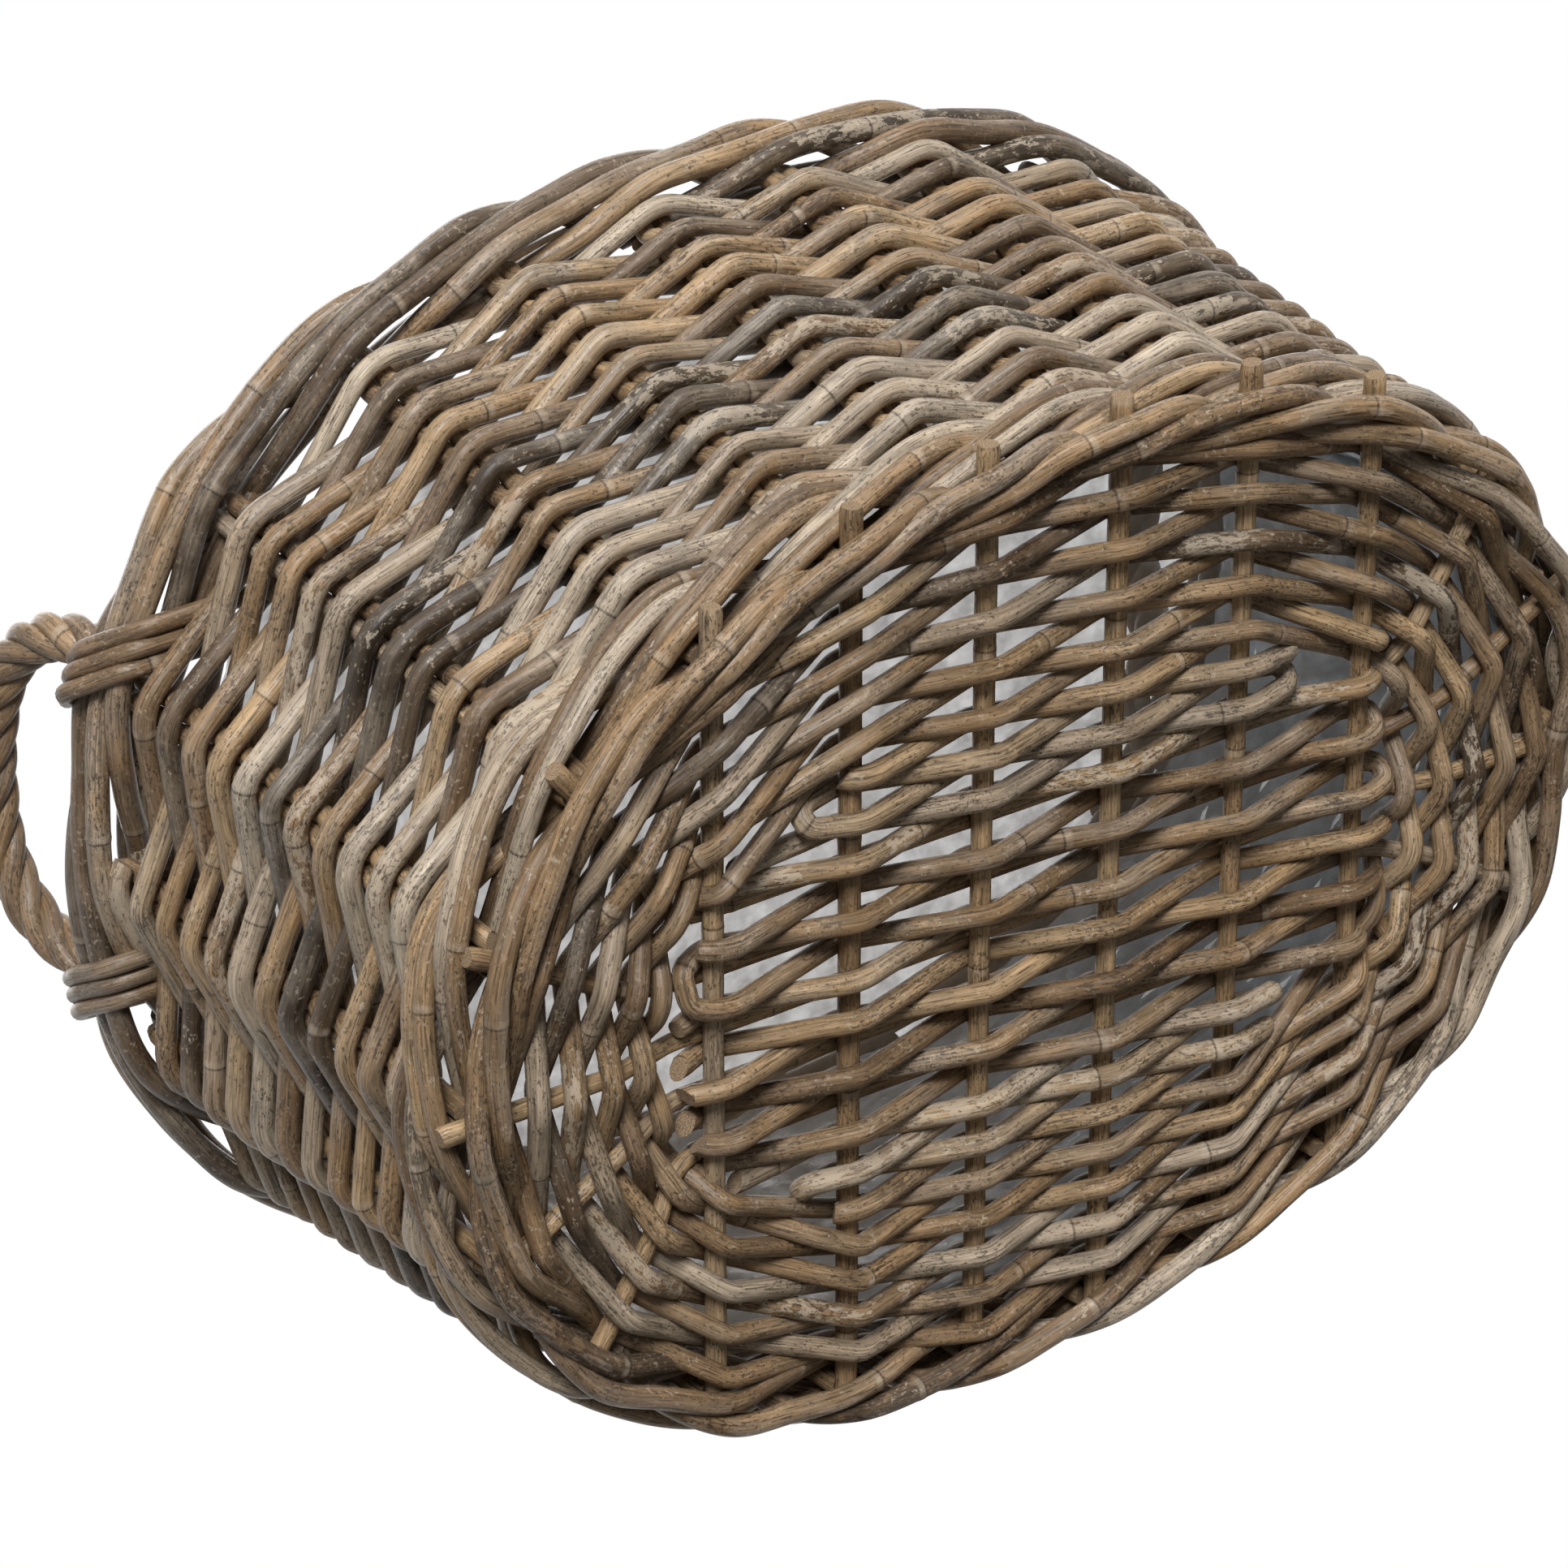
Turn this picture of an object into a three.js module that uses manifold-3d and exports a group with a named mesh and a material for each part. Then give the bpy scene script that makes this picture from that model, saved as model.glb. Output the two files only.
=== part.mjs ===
// An oval rattan basket with a woven base, a woven flared wall, a rolled border,
// two roped end handles and a thin clear liner. Millimetres, +Z up.
// The origin is on the floor, in the middle of the foot. +X runs along the oval.
import * as THREE from 'three';
import Module from 'manifold-3d';

const wasm = await Module();
wasm.setup();

// Overall shape, measured through the middle of the upright stakes
const FOOT_LENGTH = 568;
const FOOT_WIDTH = 414;
const MOUTH_LENGTH = 608;
const MOUTH_WIDTH = 494;
const RIM_HEIGHT = 292;
const OVAL_POWER = 2.28;

// Rattan thicknesses
const STAKE_ROD = 8;
const STICK_ROD = 8;
const WALL_ROD = 8;
const BASE_ROD = 8;
const FOOT_ROD = 8.5;
const BORDER_ROD = 9;
const BINDING_ROD = 8;
const HANDLE_ROPE = 22;

// Counts that the weave is laid out from
const CROSS_STICKS = 6;
const LONG_STICKS = 5;
const WEAVERS_PER_SPIRAL = 4;
const ROUND_ROWS = 5;
const ROWS_PER_LONG_STICK = 3;

// Spacings
const GAP = 0.3;
const FAN_LENGTH = 117;
const BASE_ROW_PITCH = 9.2;
const WALL_ROW_SPARE = 0.7;
const STICK_PROUD = 17;
const FOOT_ROD_INSET = 12;
const FOOT_ROD_OUTSET = 9.5;
const FOOT_TOP_INSET = 15.5;
const BASE_EDGE_SPARE = 1.6;
const UPSET_SPREAD = 9.2;
const BORDER_SPREAD = 13;
const STAKE_TOP_BELOW_RIM = 8;
const FAN_FOCUS_INSET = 17;
const CROSSING_LEVEL = 6.2;
const HAIRPIN_SPARE = 2;
const HAIRPIN_STEP = 1.2;
const HAIRPIN_DROP = 4.4;
const HAIRPIN_LIFT = 2.4;

// Handles: where their feet stand along the end of the oval, and how far they rise
const HANDLE_LOW_SIDE = -104;
const HANDLE_HIGH_SIDE = 57;
const HANDLE_RISE = 70;
const HANDLE_LEAN = 14;
const HANDLE_FOOT_OUTSET = 8;
const HANDLE_FOOT_RISE = 3.5;
const HANDLE_ARCH_POWER = 2.4;
const HANDLE_STEPS = 16;
const HANDLE_SIDES = 8;
const BINDING_TURNS = 3;
const BINDING_PITCH = 8.6;
const BINDING_SPARE = 0.3;
const BINDING_CORNER = 7;
const CORNER_POINTS = 3;

// Liner: a film bag, drawn thicker than it is so that it is one closed solid
const LINER_WALL = 1;
const LINER_SPARE = 0.5;
const LINER_BELOW_RIM = 46;
const LINER_POINTS = 44;

// Rods overlap or stop short of the rod that carries on by these shares of a station's spacing
const LAY_END_GAP = 0.06;
const WALL_END_PAST = 0.06;
const WALL_START_PAST = 0.1;

// Mesh detail
const ROD_SIDES = 5;
const FLAT_ROD_SIDES = 6;

// Rods in a pair touch with their middles this share of a rod from the pair's middle
const PAIR_SHARE = 0.48;
const WAIST_SHARE = 0.26;
const STAKE_PAIR_OFFSET = STAKE_ROD * PAIR_SHARE;
const END_STATIONS = LONG_STICKS;
const STATIONS = 2 * (CROSS_STICKS + END_STATIONS);
const CROSS_STICK_PITCH = (FOOT_LENGTH - 2 * FAN_LENGTH) / (CROSS_STICKS - 1);
const HANDLE_TOP_HEIGHT = RIM_HEIGHT + HANDLE_RISE;
const LINER_TOP_HEIGHT = RIM_HEIGHT - LINER_BELOW_RIM;

const rattan = (name, color, roughness) => {
  const material = new THREE.MeshStandardMaterial({ color, roughness, metalness: 0 });
  material.name = name;
  return material;
};
const stakeMaterial = rattan('rattan_stakes', 0x6a5846, 0.75);
const wallMaterial = rattan('rattan_wall', 0x7d6f60, 0.65);
const baseMaterial = rattan('rattan_base', 0x75644f, 0.7);
const footMaterial = rattan('rattan_foot', 0x6e5c48, 0.7);
const borderMaterial = rattan('rattan_border', 0x74675a, 0.65);
const handleMaterial = rattan('rattan_handle', 0x6b5c4c, 0.6);
const linerMaterial = new THREE.MeshStandardMaterial({
  color: 0xc9cdd0, roughness: 0.2, metalness: 0, transparent: true, opacity: 0.35,
});
linerMaterial.name = 'clear_film';

const basket = new THREE.Group();
const worldUp = new THREE.Vector3(0, 0, 1);

function addMesh(name, geometry, material) {
  const mesh = new THREE.Mesh(geometry, material);
  mesh.name = name;
  basket.add(mesh);
  return mesh;
}

const lerp = THREE.MathUtils.lerp;
const signedPower = (value, power) => Math.sign(value) * Math.abs(value) ** power;

// The oval is a superellipse that grows from the floor to the rim.
function ovalSemiAxes(height) {
  const share = height / RIM_HEIGHT;
  return {
    x: lerp(FOOT_LENGTH, MOUTH_LENGTH, share) / 2,
    y: lerp(FOOT_WIDTH, MOUTH_WIDTH, share) / 2,
  };
}

function ovalNormal(angle, height) {
  const semi = ovalSemiAxes(height);
  const slope = 2 - 2 / OVAL_POWER;
  return new THREE.Vector3(
    signedPower(Math.cos(angle), slope) / semi.x,
    signedPower(Math.sin(angle), slope) / semi.y,
    0,
  ).normalize();
}

// A point on the oval through the stakes, moved outwards along its level normal
function ovalPoint(angle, height, outward = 0) {
  const semi = ovalSemiAxes(height);
  const point = new THREE.Vector3(
    semi.x * signedPower(Math.cos(angle), 2 / OVAL_POWER),
    semi.y * signedPower(Math.sin(angle), 2 / OVAL_POWER),
    height,
  );
  return point.addScaledVector(ovalNormal(angle, height), outward);
}

// Stations are the places round the oval where a pair of stakes stands. The cross sticks
// set those on the long sides, and the long sticks fan out to those on the ends.
function crossStickPlace(index) {
  return (index - (CROSS_STICKS - 1) / 2) * CROSS_STICK_PITCH;
}

function sideAngle(place) {
  const share = Math.abs(place) / (FOOT_LENGTH / 2);
  const angle = Math.acos(share ** (OVAL_POWER / 2));
  return place < 0 ? Math.PI - angle : angle;
}

function endAngles() {
  const limit = sideAngle(crossStickPlace(CROSS_STICKS - 1));
  const samples = 720;
  const arc = [0];
  for (let i = 1; i <= samples; i++) {
    const before = ovalPoint(-limit + (2 * limit * (i - 1)) / samples, 0);
    const after = ovalPoint(-limit + (2 * limit * i) / samples, 0);
    arc.push(arc[i - 1] + before.distanceTo(after));
  }
  const angles = [];
  for (let k = 1; k <= END_STATIONS; k++) {
    const wanted = (arc[samples] * k) / (END_STATIONS + 1);
    const index = arc.findIndex((length) => length >= wanted);
    const past = (arc[index] - wanted) / (arc[index] - arc[index - 1]);
    angles.push(-limit + (2 * limit * (index - past)) / samples);
  }
  return angles;
}

function makeStations() {
  const stations = [];
  endAngles().forEach((angle, index) => {
    const row = index - (END_STATIONS - 1) / 2;
    stations.push({ angle, end: 1, row });
    stations.push({ angle: Math.PI - angle, end: -1, row });
  });
  for (let i = 0; i < CROSS_STICKS; i++) {
    const place = crossStickPlace(i);
    stations.push({ angle: sideAngle(place), end: 0, place, side: 1 });
    stations.push({ angle: -sideAngle(place), end: 0, place, side: -1 });
  }
  const turn = 2 * Math.PI;
  stations.forEach((station) => {
    station.angle = (station.angle + turn + 1e-6) % turn;
  });
  return stations.sort((a, b) => a.angle - b.angle);
}

const stations = makeStations();
const stationAt = (step) => stations[((step % STATIONS) + STATIONS) % STATIONS];

// How far from the middle of a crossed rod a straight-running rod has to bend, so that
// it clears a pair of rods although it leaves at a slope towards the next crossing.
function crossingReach(clear, spacing, pairOffset, turnIn = 0) {
  let reach = clear;
  for (let i = 0; i < 12; i++) {
    const slope = (2 * reach + turnIn) / spacing;
    reach = clear * Math.hypot(1, slope) + slope * pairOffset;
  }
  return reach;
}

// The rods of the foot lie at this height where they pass under the sticks.
const footFloor = (FOOT_ROD / 2) * Math.sin(Math.PI / 3);

// A point near the oval, moved outwards along the direction of the station's base stick
function alongStick(station, height, outward) {
  if (station.end !== 0) {
    return ovalPoint(station.angle, height, outward);
  }
  const edge = ovalPoint(station.angle, height);
  const reach = outward / Math.abs(ovalNormal(station.angle, height).y);
  return new THREE.Vector3(station.place, edge.y + station.side * reach, height);
}

// How far one point lies from another, measured square to a level direction
function squareDistance(direction, from, to) {
  const way = to.clone().sub(from).setZ(0);
  return way.addScaledVector(direction, -way.dot(direction)).length();
}

// Half the rise of a foot rod that goes from under one stick to over the next. It stays
// level for the whole width of the stakes that stand there.
function footReach() {
  const clear = (STICK_ROD + FOOT_ROD) / 2 + GAP;
  let spacing = Infinity;
  stations.forEach((station, step) => {
    const top = alongStick(station, 0, -FOOT_TOP_INSET);
    const before = alongStick(stationAt(step - 1), 0, FOOT_ROD_OUTSET);
    const after = alongStick(stationAt(step + 1), 0, -FOOT_ROD_INSET);
    const direction = alongStick(station, 0, 1).sub(alongStick(station, 0, 0)).normalize();
    spacing = Math.min(spacing, squareDistance(direction, top, before));
    spacing = Math.min(spacing, squareDistance(direction, top, after));
  });
  return crossingReach(clear, spacing, STAKE_PAIR_OFFSET);
}

// Distance and bend of the oval between a station and its nearer neighbour
function stationSpacing(step, height) {
  const here = ovalPoint(stationAt(step).angle, height);
  const normal = ovalNormal(stationAt(step).angle, height);
  let spacing = Infinity;
  let turnIn = 0;
  for (const side of [-1, 1]) {
    const next = ovalPoint(stationAt(step + side).angle, height);
    spacing = Math.min(spacing, here.distanceTo(next));
    turnIn = Math.max(turnIn, here.clone().sub(next).dot(normal));
  }
  return { spacing, turnIn };
}

function wallReach(step, height, rod, outside) {
  const { spacing, turnIn } = stationSpacing(step, height);
  const clear = (STAKE_ROD + rod) / 2 + GAP;
  return crossingReach(clear, spacing, STAKE_PAIR_OFFSET, outside ? turnIn : 0);
}

// Sections in the plane across a rod: x is sideways, y is up.
function roundSection(diameter, sides, flatBelow = false) {
  const points = [];
  const start = flatBelow ? 0 : Math.PI / 2;
  for (let i = 0; i < sides; i++) {
    const angle = start + (2 * Math.PI * i) / sides;
    points.push(new THREE.Vector2(Math.cos(angle), Math.sin(angle)).multiplyScalar(diameter / 2));
  }
  return points;
}

// Two rods side by side, joined at a narrow waist
function pairSection(diameter, offset) {
  const points = [];
  const waist = diameter * WAIST_SHARE;
  for (const side of [1, -1]) {
    for (let i = -2; i <= 2; i++) {
      const angle = (i * Math.PI) / 3;
      const x = offset + (Math.cos(angle) * diameter) / 2;
      points.push(new THREE.Vector2(side * x, (side * Math.sin(angle) * diameter) / 2));
    }
    points.push(new THREE.Vector2(0, side * waist));
  }
  return points;
}

// Sweeps a section along a line of points and closes both ends. `above` is the direction
// that the section's y axis leans to, or keeps to exactly where `upright` is set.
function rodGeometry(points, section, above = worldUp, upright = false) {
  const positions = [];
  const indices = [];
  const sides = section.length;
  points.forEach((point, index) => {
    const before = points[Math.max(index - 1, 0)];
    const after = points[Math.min(index + 1, points.length - 1)];
    const toHere = point.clone().sub(before).normalize();
    const onwards = after.clone().sub(point).normalize();
    const along = toHere.add(onwards).normalize();
    const sideways = along.clone().cross(above).normalize();
    const upwards = upright ? above : sideways.clone().cross(along);
    for (const { x, y } of section) {
      const corner = point.clone().addScaledVector(sideways, x).addScaledVector(upwards, y);
      positions.push(corner.x, corner.y, corner.z);
    }
  });
  for (let ring = 0; ring < points.length - 1; ring++) {
    for (let i = 0; i < sides; i++) {
      const a = ring * sides + i;
      const b = ring * sides + ((i + 1) % sides);
      indices.push(a, a + sides, b, b, a + sides, b + sides);
    }
  }
  const last = (points.length - 1) * sides;
  const firstMiddle = points.length * sides;
  for (const point of [points[0], points[points.length - 1]]) {
    positions.push(point.x, point.y, point.z);
  }
  for (let i = 0; i < sides; i++) {
    const next = (i + 1) % sides;
    indices.push(firstMiddle, i, next);
    indices.push(firstMiddle + 1, last + next, last + i);
  }
  return closedGeometry(positions, indices);
}

// An indexed geometry whose faces are turned outwards
function closedGeometry(positions, indices) {
  let volume = 0;
  const corner = (index) => new THREE.Vector3().fromArray(positions, index * 3);
  for (let i = 0; i < indices.length; i += 3) {
    volume += corner(indices[i]).dot(corner(indices[i + 1]).cross(corner(indices[i + 2])));
  }
  if (volume < 0) {
    for (let i = 0; i < indices.length; i += 3) {
      [indices[i], indices[i + 1]] = [indices[i + 1], indices[i]];
    }
  }
  const geometry = new THREE.BufferGeometry();
  geometry.setAttribute('position', new THREE.Float32BufferAttribute(positions, 3));
  geometry.setIndex(indices);
  geometry.computeVertexNormals();
  return geometry;
}

// The points of a path from one station count to another. Both may be fractions.
function pathPoints(pathAt, from, to) {
  const between = (step) => {
    const low = Math.floor(step);
    return pathAt(low).lerp(pathAt(low + 1), step - low);
  };
  const points = [between(from)];
  for (let step = Math.floor(from) + 1; step < to; step++) {
    points.push(pathAt(step));
  }
  points.push(between(to));
  return points;
}

// The base: crosswise sticks, and long sticks that lie over them and fan out at the ends
const baseEdge = FOOT_TOP_INSET + (FOOT_ROD + BASE_ROD) / 2 + BASE_EDGE_SPARE;
const ringDepth = ROUND_ROWS * BASE_ROW_PITCH;
const hairpinOut = (STICK_ROD + BASE_ROD) / 2 + HAIRPIN_SPARE;
const outerStick = crossStickPlace(CROSS_STICKS - 1);

function sideEdge(station) {
  const normal = ovalNormal(station.angle, 0);
  return Math.abs(ovalPoint(station.angle, 0).y) - baseEdge / Math.abs(normal.y);
}

const secondStick = stations.find((s) => s.end === 0 && s.place === crossStickPlace(CROSS_STICKS - 2));
const widestBlock = sideEdge(secondStick) - ringDepth;

// Where the encircling rows of the base start and end on each station's stick
function ringEnds(station) {
  if (station.end === 0) {
    const outer = sideEdge(station);
    const inner = Math.min(outer - ringDepth, widestBlock);
    return {
      outer: new THREE.Vector3(station.place, station.side * outer, 0),
      inner: new THREE.Vector3(station.place, station.side * inner, 0),
    };
  }
  const outer = ovalPoint(station.angle, 0, -baseEdge);
  const focus = new THREE.Vector3(station.end * (outerStick - FAN_FOCUS_INSET), 0, 0);
  const inward = focus.sub(outer).normalize();
  return { outer, inner: outer.clone().addScaledVector(inward, ringDepth) };
}

// Two rods chase each other outwards round the base, over and under the sticks. They lie
// level across the width of a double stick, and bend at one point over a single one.
// Heights are measured from the middle of the sticks.
const baseRise = (STICK_ROD + BASE_ROD) / 2 + GAP;

function roundPoints(spiral) {
  const steps = (STATIONS * ROUND_ROWS) / 2;
  const start = (spiral * STATIONS) / 2;
  const middleAt = (step) => {
    const { inner, outer } = ringEnds(stationAt(step));
    return inner.lerp(outer, THREE.MathUtils.clamp((step - start) / steps, 0, 1));
  };
  const points = [];
  for (let step = start; step <= start + steps; step++) {
    const over = (step + spiral) % 2 === 0 ? -1 : 1;
    const station = stationAt(step);
    const { inner, outer } = ringEnds(station);
    const direction = outer.sub(inner).normalize();
    const here = middleAt(step);
    const sides = [middleAt(step - 1), middleAt(step + 1)];
    const spacings = sides.map((next) => squareDistance(direction, here, next));
    if (station.end !== 0) {
      const spacing = Math.min(...spacings) - CROSSING_LEVEL;
      points.push(here.setZ(over * crossingReach(baseRise, spacing, 0)));
    } else {
      sides.forEach((next, index) => {
        const point = here.clone().lerp(next, CROSSING_LEVEL / spacings[index]);
        points.push(point.setZ(over * (baseRise + 2 * GAP)));
      });
    }
  }
  return points;
}

// Heights that follow from the rods and counts
const footRise = footReach();
const packingRise = crossingReach(baseRise, CROSS_STICK_PITCH, 0);
const roundRise = Math.max(...roundPoints(0).map((point) => Math.abs(point.z)));
const baseMiddle = Math.max(footFloor + footRise, Math.max(packingRise, roundRise) + BASE_ROD / 2 + GAP);
const stickTop = baseMiddle + STICK_ROD / 2;
const upsetMiddle = stickTop + GAP + FOOT_ROD / 2 + UPSET_SPREAD;
const upsetTop = upsetMiddle + UPSET_SPREAD + FOOT_ROD / 2;
const borderMiddle = RIM_HEIGHT - BORDER_ROD / 2 - BORDER_SPREAD;
const bindingHalfHeight = BORDER_SPREAD + (BORDER_ROD + BINDING_ROD) / 2 + BINDING_SPARE;
const firstWallRow = upsetTop + GAP + WALL_ROD / 2;
const lastWallRow = borderMiddle - bindingHalfHeight - (BINDING_ROD + WALL_ROD) / 2 - GAP;
const wallRows = Math.floor((lastWallRow - firstWallRow) / (WALL_ROD + WALL_ROW_SPARE));

const stickTip = (station) => alongStick(station, baseMiddle, STICK_PROUD);

function addCrossSticks() {
  const section = roundSection(STICK_ROD, FLAT_ROD_SIDES, true);
  for (let i = 0; i < CROSS_STICKS; i++) {
    const ends = stations.filter((s) => s.end === 0 && s.place === crossStickPlace(i));
    const geometry = rodGeometry(ends.map(stickTip), section);
    addMesh(`base_cross_stick_${i + 1}`, geometry, baseMaterial);
  }
}

const longStickSpacing = ROWS_PER_LONG_STICK * BASE_ROW_PITCH;
const longStickHeight = baseMiddle + STICK_ROD + GAP;
const fanStart = outerStick + hairpinOut + (STICK_ROD + BASE_ROD) / 2 + GAP;

function addLongSticks() {
  for (let i = 0; i < LONG_STICKS; i++) {
    const row = i - (LONG_STICKS - 1) / 2;
    const half = (end) => {
      const station = stations.find((s) => s.end === end && s.row === row);
      const { inner, outer } = ringEnds(station);
      const straight = new THREE.Vector3(end * fanStart, row * longStickSpacing, longStickHeight);
      return [stickTip(station), outer.setZ(baseMiddle), inner.setZ(baseMiddle), straight];
    };
    const points = [...half(-1), ...half(1).reverse()];
    const geometry = rodGeometry(points, roundSection(STICK_ROD, FLAT_ROD_SIDES, true));
    addMesh(`base_long_stick_${i + 1}`, geometry, baseMaterial);
  }
}

// Rows in the middle of the base run to and fro, with hairpins round the last stick. A
// hairpin drops below the sticks, so that it passes under the end of any long stick.
function packingPoints(rows, side, sticksLeftOut) {
  const places = [];
  for (let i = sticksLeftOut; i < CROSS_STICKS - sticksLeftOut; i++) {
    places.push(crossStickPlace(i));
  }
  const hairpinStep = side * HAIRPIN_STEP;
  const points = [];
  let over = 1;
  rows.forEach((row, index) => {
    const way = index % 2 === 0 ? 1 : -1;
    const ordered = way > 0 ? places : [...places].reverse();
    const y = side * row;
    const add = (x, across, up) => points.push(new THREE.Vector3(x, across, baseMiddle + up));
    add(ordered[0] - way * CROSSING_LEVEL, y, over * packingRise);
    ordered.forEach((place) => {
      add(place, y, over * packingRise);
      over = -over;
    });
    over = -over;
    const last = ordered[ordered.length - 1];
    add(last + way * CROSSING_LEVEL, y, over * packingRise);
    if (index < rows.length - 1) {
      const nextY = side * rows[index + 1];
      const apex = last + way * hairpinOut;
      if (over > 0) {
        add(apex, y + hairpinStep, HAIRPIN_LIFT);
        add(apex, y + 3 * hairpinStep, -HAIRPIN_DROP);
        add(apex, nextY, -HAIRPIN_DROP);
      } else {
        add(apex, y, -HAIRPIN_DROP);
        add(apex, nextY - 3 * hairpinStep, -HAIRPIN_DROP);
        add(apex, nextY - hairpinStep, HAIRPIN_LIFT);
      }
      over = -over;
    }
  });
  return points;
}

function addPackingWeavers() {
  const rowsUpTo = (limit, from) => {
    const rows = [];
    for (let i = 1; i * BASE_ROW_PITCH <= limit; i++) {
      const taken = i % ROWS_PER_LONG_STICK === 0 && i / ROWS_PER_LONG_STICK <= (LONG_STICKS - 1) / 2;
      if (!taken && i * BASE_ROW_PITCH > from) {
        rows.push(i * BASE_ROW_PITCH);
      }
    }
    return rows;
  };
  const outerStation = stations.find((s) => s.end === 0 && s.place === outerStick);
  const fullLimit = sideEdge(outerStation) - ringDepth - 2 * BASE_ROW_PITCH;
  const fullRows = rowsUpTo(fullLimit, 0);
  const shortRows = rowsUpTo(widestBlock - BASE_ROW_PITCH, fullRows[fullRows.length - 1]);
  const section = roundSection(BASE_ROD, ROD_SIDES);
  for (const side of [-1, 1]) {
    const name = side < 0 ? 'front' : 'back';
    const full = packingPoints(fullRows, side, 0);
    addMesh(`base_packing_${name}`, rodGeometry(full, section), baseMaterial);
    if (shortRows.length > 0) {
      const short = packingPoints(shortRows, side, 1);
      addMesh(`base_packing_${name}_short`, rodGeometry(short, section), baseMaterial);
    }
  }
}

function addRoundWeavers() {
  for (let spiral = 0; spiral < 2; spiral++) {
    const points = roundPoints(spiral).map((point) => point.setZ(point.z + baseMiddle));
    const geometry = rodGeometry(points, roundSection(BASE_ROD, ROD_SIDES));
    addMesh(`base_round_weaver_${spiral + 1}`, geometry, baseMaterial);
  }
}

// Rods laid round the foot or the rim like the strands of a rope. `pointAt` gives a
// strand's point at a station, from its phase in the lay.
function addLay(name, count, section, pointAt, material, upright = false) {
  for (let strand = 0; strand < count; strand++) {
    const pathAt = (step) => {
      const phase = (step + strand) % count;
      return pointAt(phase, step);
    };
    const points = pathPoints(pathAt, 0, STATIONS - LAY_END_GAP);
    addMesh(`${name}_${strand + 1}`, rodGeometry(points, section, worldUp, upright), material);
  }
}

// The basket stands on the flat undersides of these rods.
function footPoint(phase, step) {
  const [outward, height] = [
    [-FOOT_ROD_INSET, footFloor],
    [FOOT_ROD_OUTSET, footFloor],
    [-FOOT_TOP_INSET, baseMiddle + footRise],
  ][phase];
  return alongStick(stationAt(step), height, outward);
}

function upsetPoint(phase, step) {
  const outside = wallReach(step, upsetMiddle, FOOT_ROD, true);
  const inside = wallReach(step, upsetMiddle, FOOT_ROD, false);
  const [outward, height] = [
    [outside, upsetMiddle - UPSET_SPREAD],
    [outside, upsetMiddle + UPSET_SPREAD],
    [-inside, upsetMiddle],
  ][phase];
  return ovalPoint(stationAt(step).angle, height, outward);
}

function borderPoint(phase, step) {
  const outside = wallReach(step, borderMiddle, BORDER_ROD, true);
  const inside = wallReach(step, borderMiddle, BORDER_ROD, false);
  const [outward, height] = [
    [outside, borderMiddle - BORDER_SPREAD],
    [outside, borderMiddle + BORDER_SPREAD],
    [-inside, borderMiddle + BORDER_SPREAD],
    [-inside, borderMiddle - BORDER_SPREAD],
  ][phase];
  return ovalPoint(stationAt(step).angle, height, outward);
}

// Each stake is a pair of rods that stands on the end of a base stick.
function addStakes() {
  const section = pairSection(STAKE_ROD, STAKE_PAIR_OFFSET);
  stations.forEach((station, index) => {
    const foot = ovalPoint(station.angle, stickTop + GAP);
    const top = ovalPoint(station.angle, RIM_HEIGHT - STAKE_TOP_BELOW_RIM);
    const geometry = rodGeometry([foot, top], section, ovalNormal(station.angle, 0));
    const number = String(index + 1).padStart(2, '0');
    addMesh(`stake_pair_${number}`, geometry, stakeMaterial);
  });
}

// The wall: two spirals of rods that chase each other upwards. One passes outside the
// even stations, the other outside the odd ones.
function addWallWeavers() {
  const steps = (STATIONS * wallRows) / 2;
  const section = roundSection(WALL_ROD, ROD_SIDES);
  for (let spiral = 0; spiral < 2; spiral++) {
    const start = (spiral * STATIONS) / 2;
    const pathAt = (step) => {
      const height = firstWallRow + (lastWallRow - firstWallRow) * ((step - start) / steps);
      const outside = (step + spiral) % 2 === 0;
      const reach = wallReach(step, height, WALL_ROD, outside);
      return ovalPoint(stationAt(step).angle, height, outside ? reach : -reach);
    };
    const cuts = [];
    for (let i = 0; i <= WEAVERS_PER_SPIRAL; i++) {
      cuts.push(start + Math.round((steps * i) / WEAVERS_PER_SPIRAL));
    }
    for (let i = 0; i < WEAVERS_PER_SPIRAL; i++) {
      const from = i === 0 ? cuts[0] : cuts[i] + WALL_START_PAST;
      const to = i === WEAVERS_PER_SPIRAL - 1 ? cuts[i + 1] : cuts[i + 1] + WALL_END_PAST;
      const letter = spiral === 0 ? 'a' : 'b';
      const geometry = rodGeometry(pathPoints(pathAt, from, to), section);
      addMesh(`wall_weaver_${letter}${i + 1}`, geometry, wallMaterial);
    }
  }
}

// A place on the straight stretch of border between two stations at the -X end
function borderPlaceAt(across) {
  for (let step = 0; step < STATIONS; step++) {
    const here = ovalPoint(stationAt(step).angle, borderMiddle);
    const next = ovalPoint(stationAt(step + 1).angle, borderMiddle);
    if (here.x < 0 && here.y >= across && next.y < across) {
      const length = here.distanceTo(next);
      const tangent = next.clone().sub(here).divideScalar(length);
      const outward = new THREE.Vector3(tangent.y, -tangent.x, 0);
      const from = (length * (here.y - across)) / (here.y - next.y);
      return { here, length, tangent, outward, from, step };
    }
  }
  throw new Error('The handle has a foot beyond the end of the oval');
}

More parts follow.
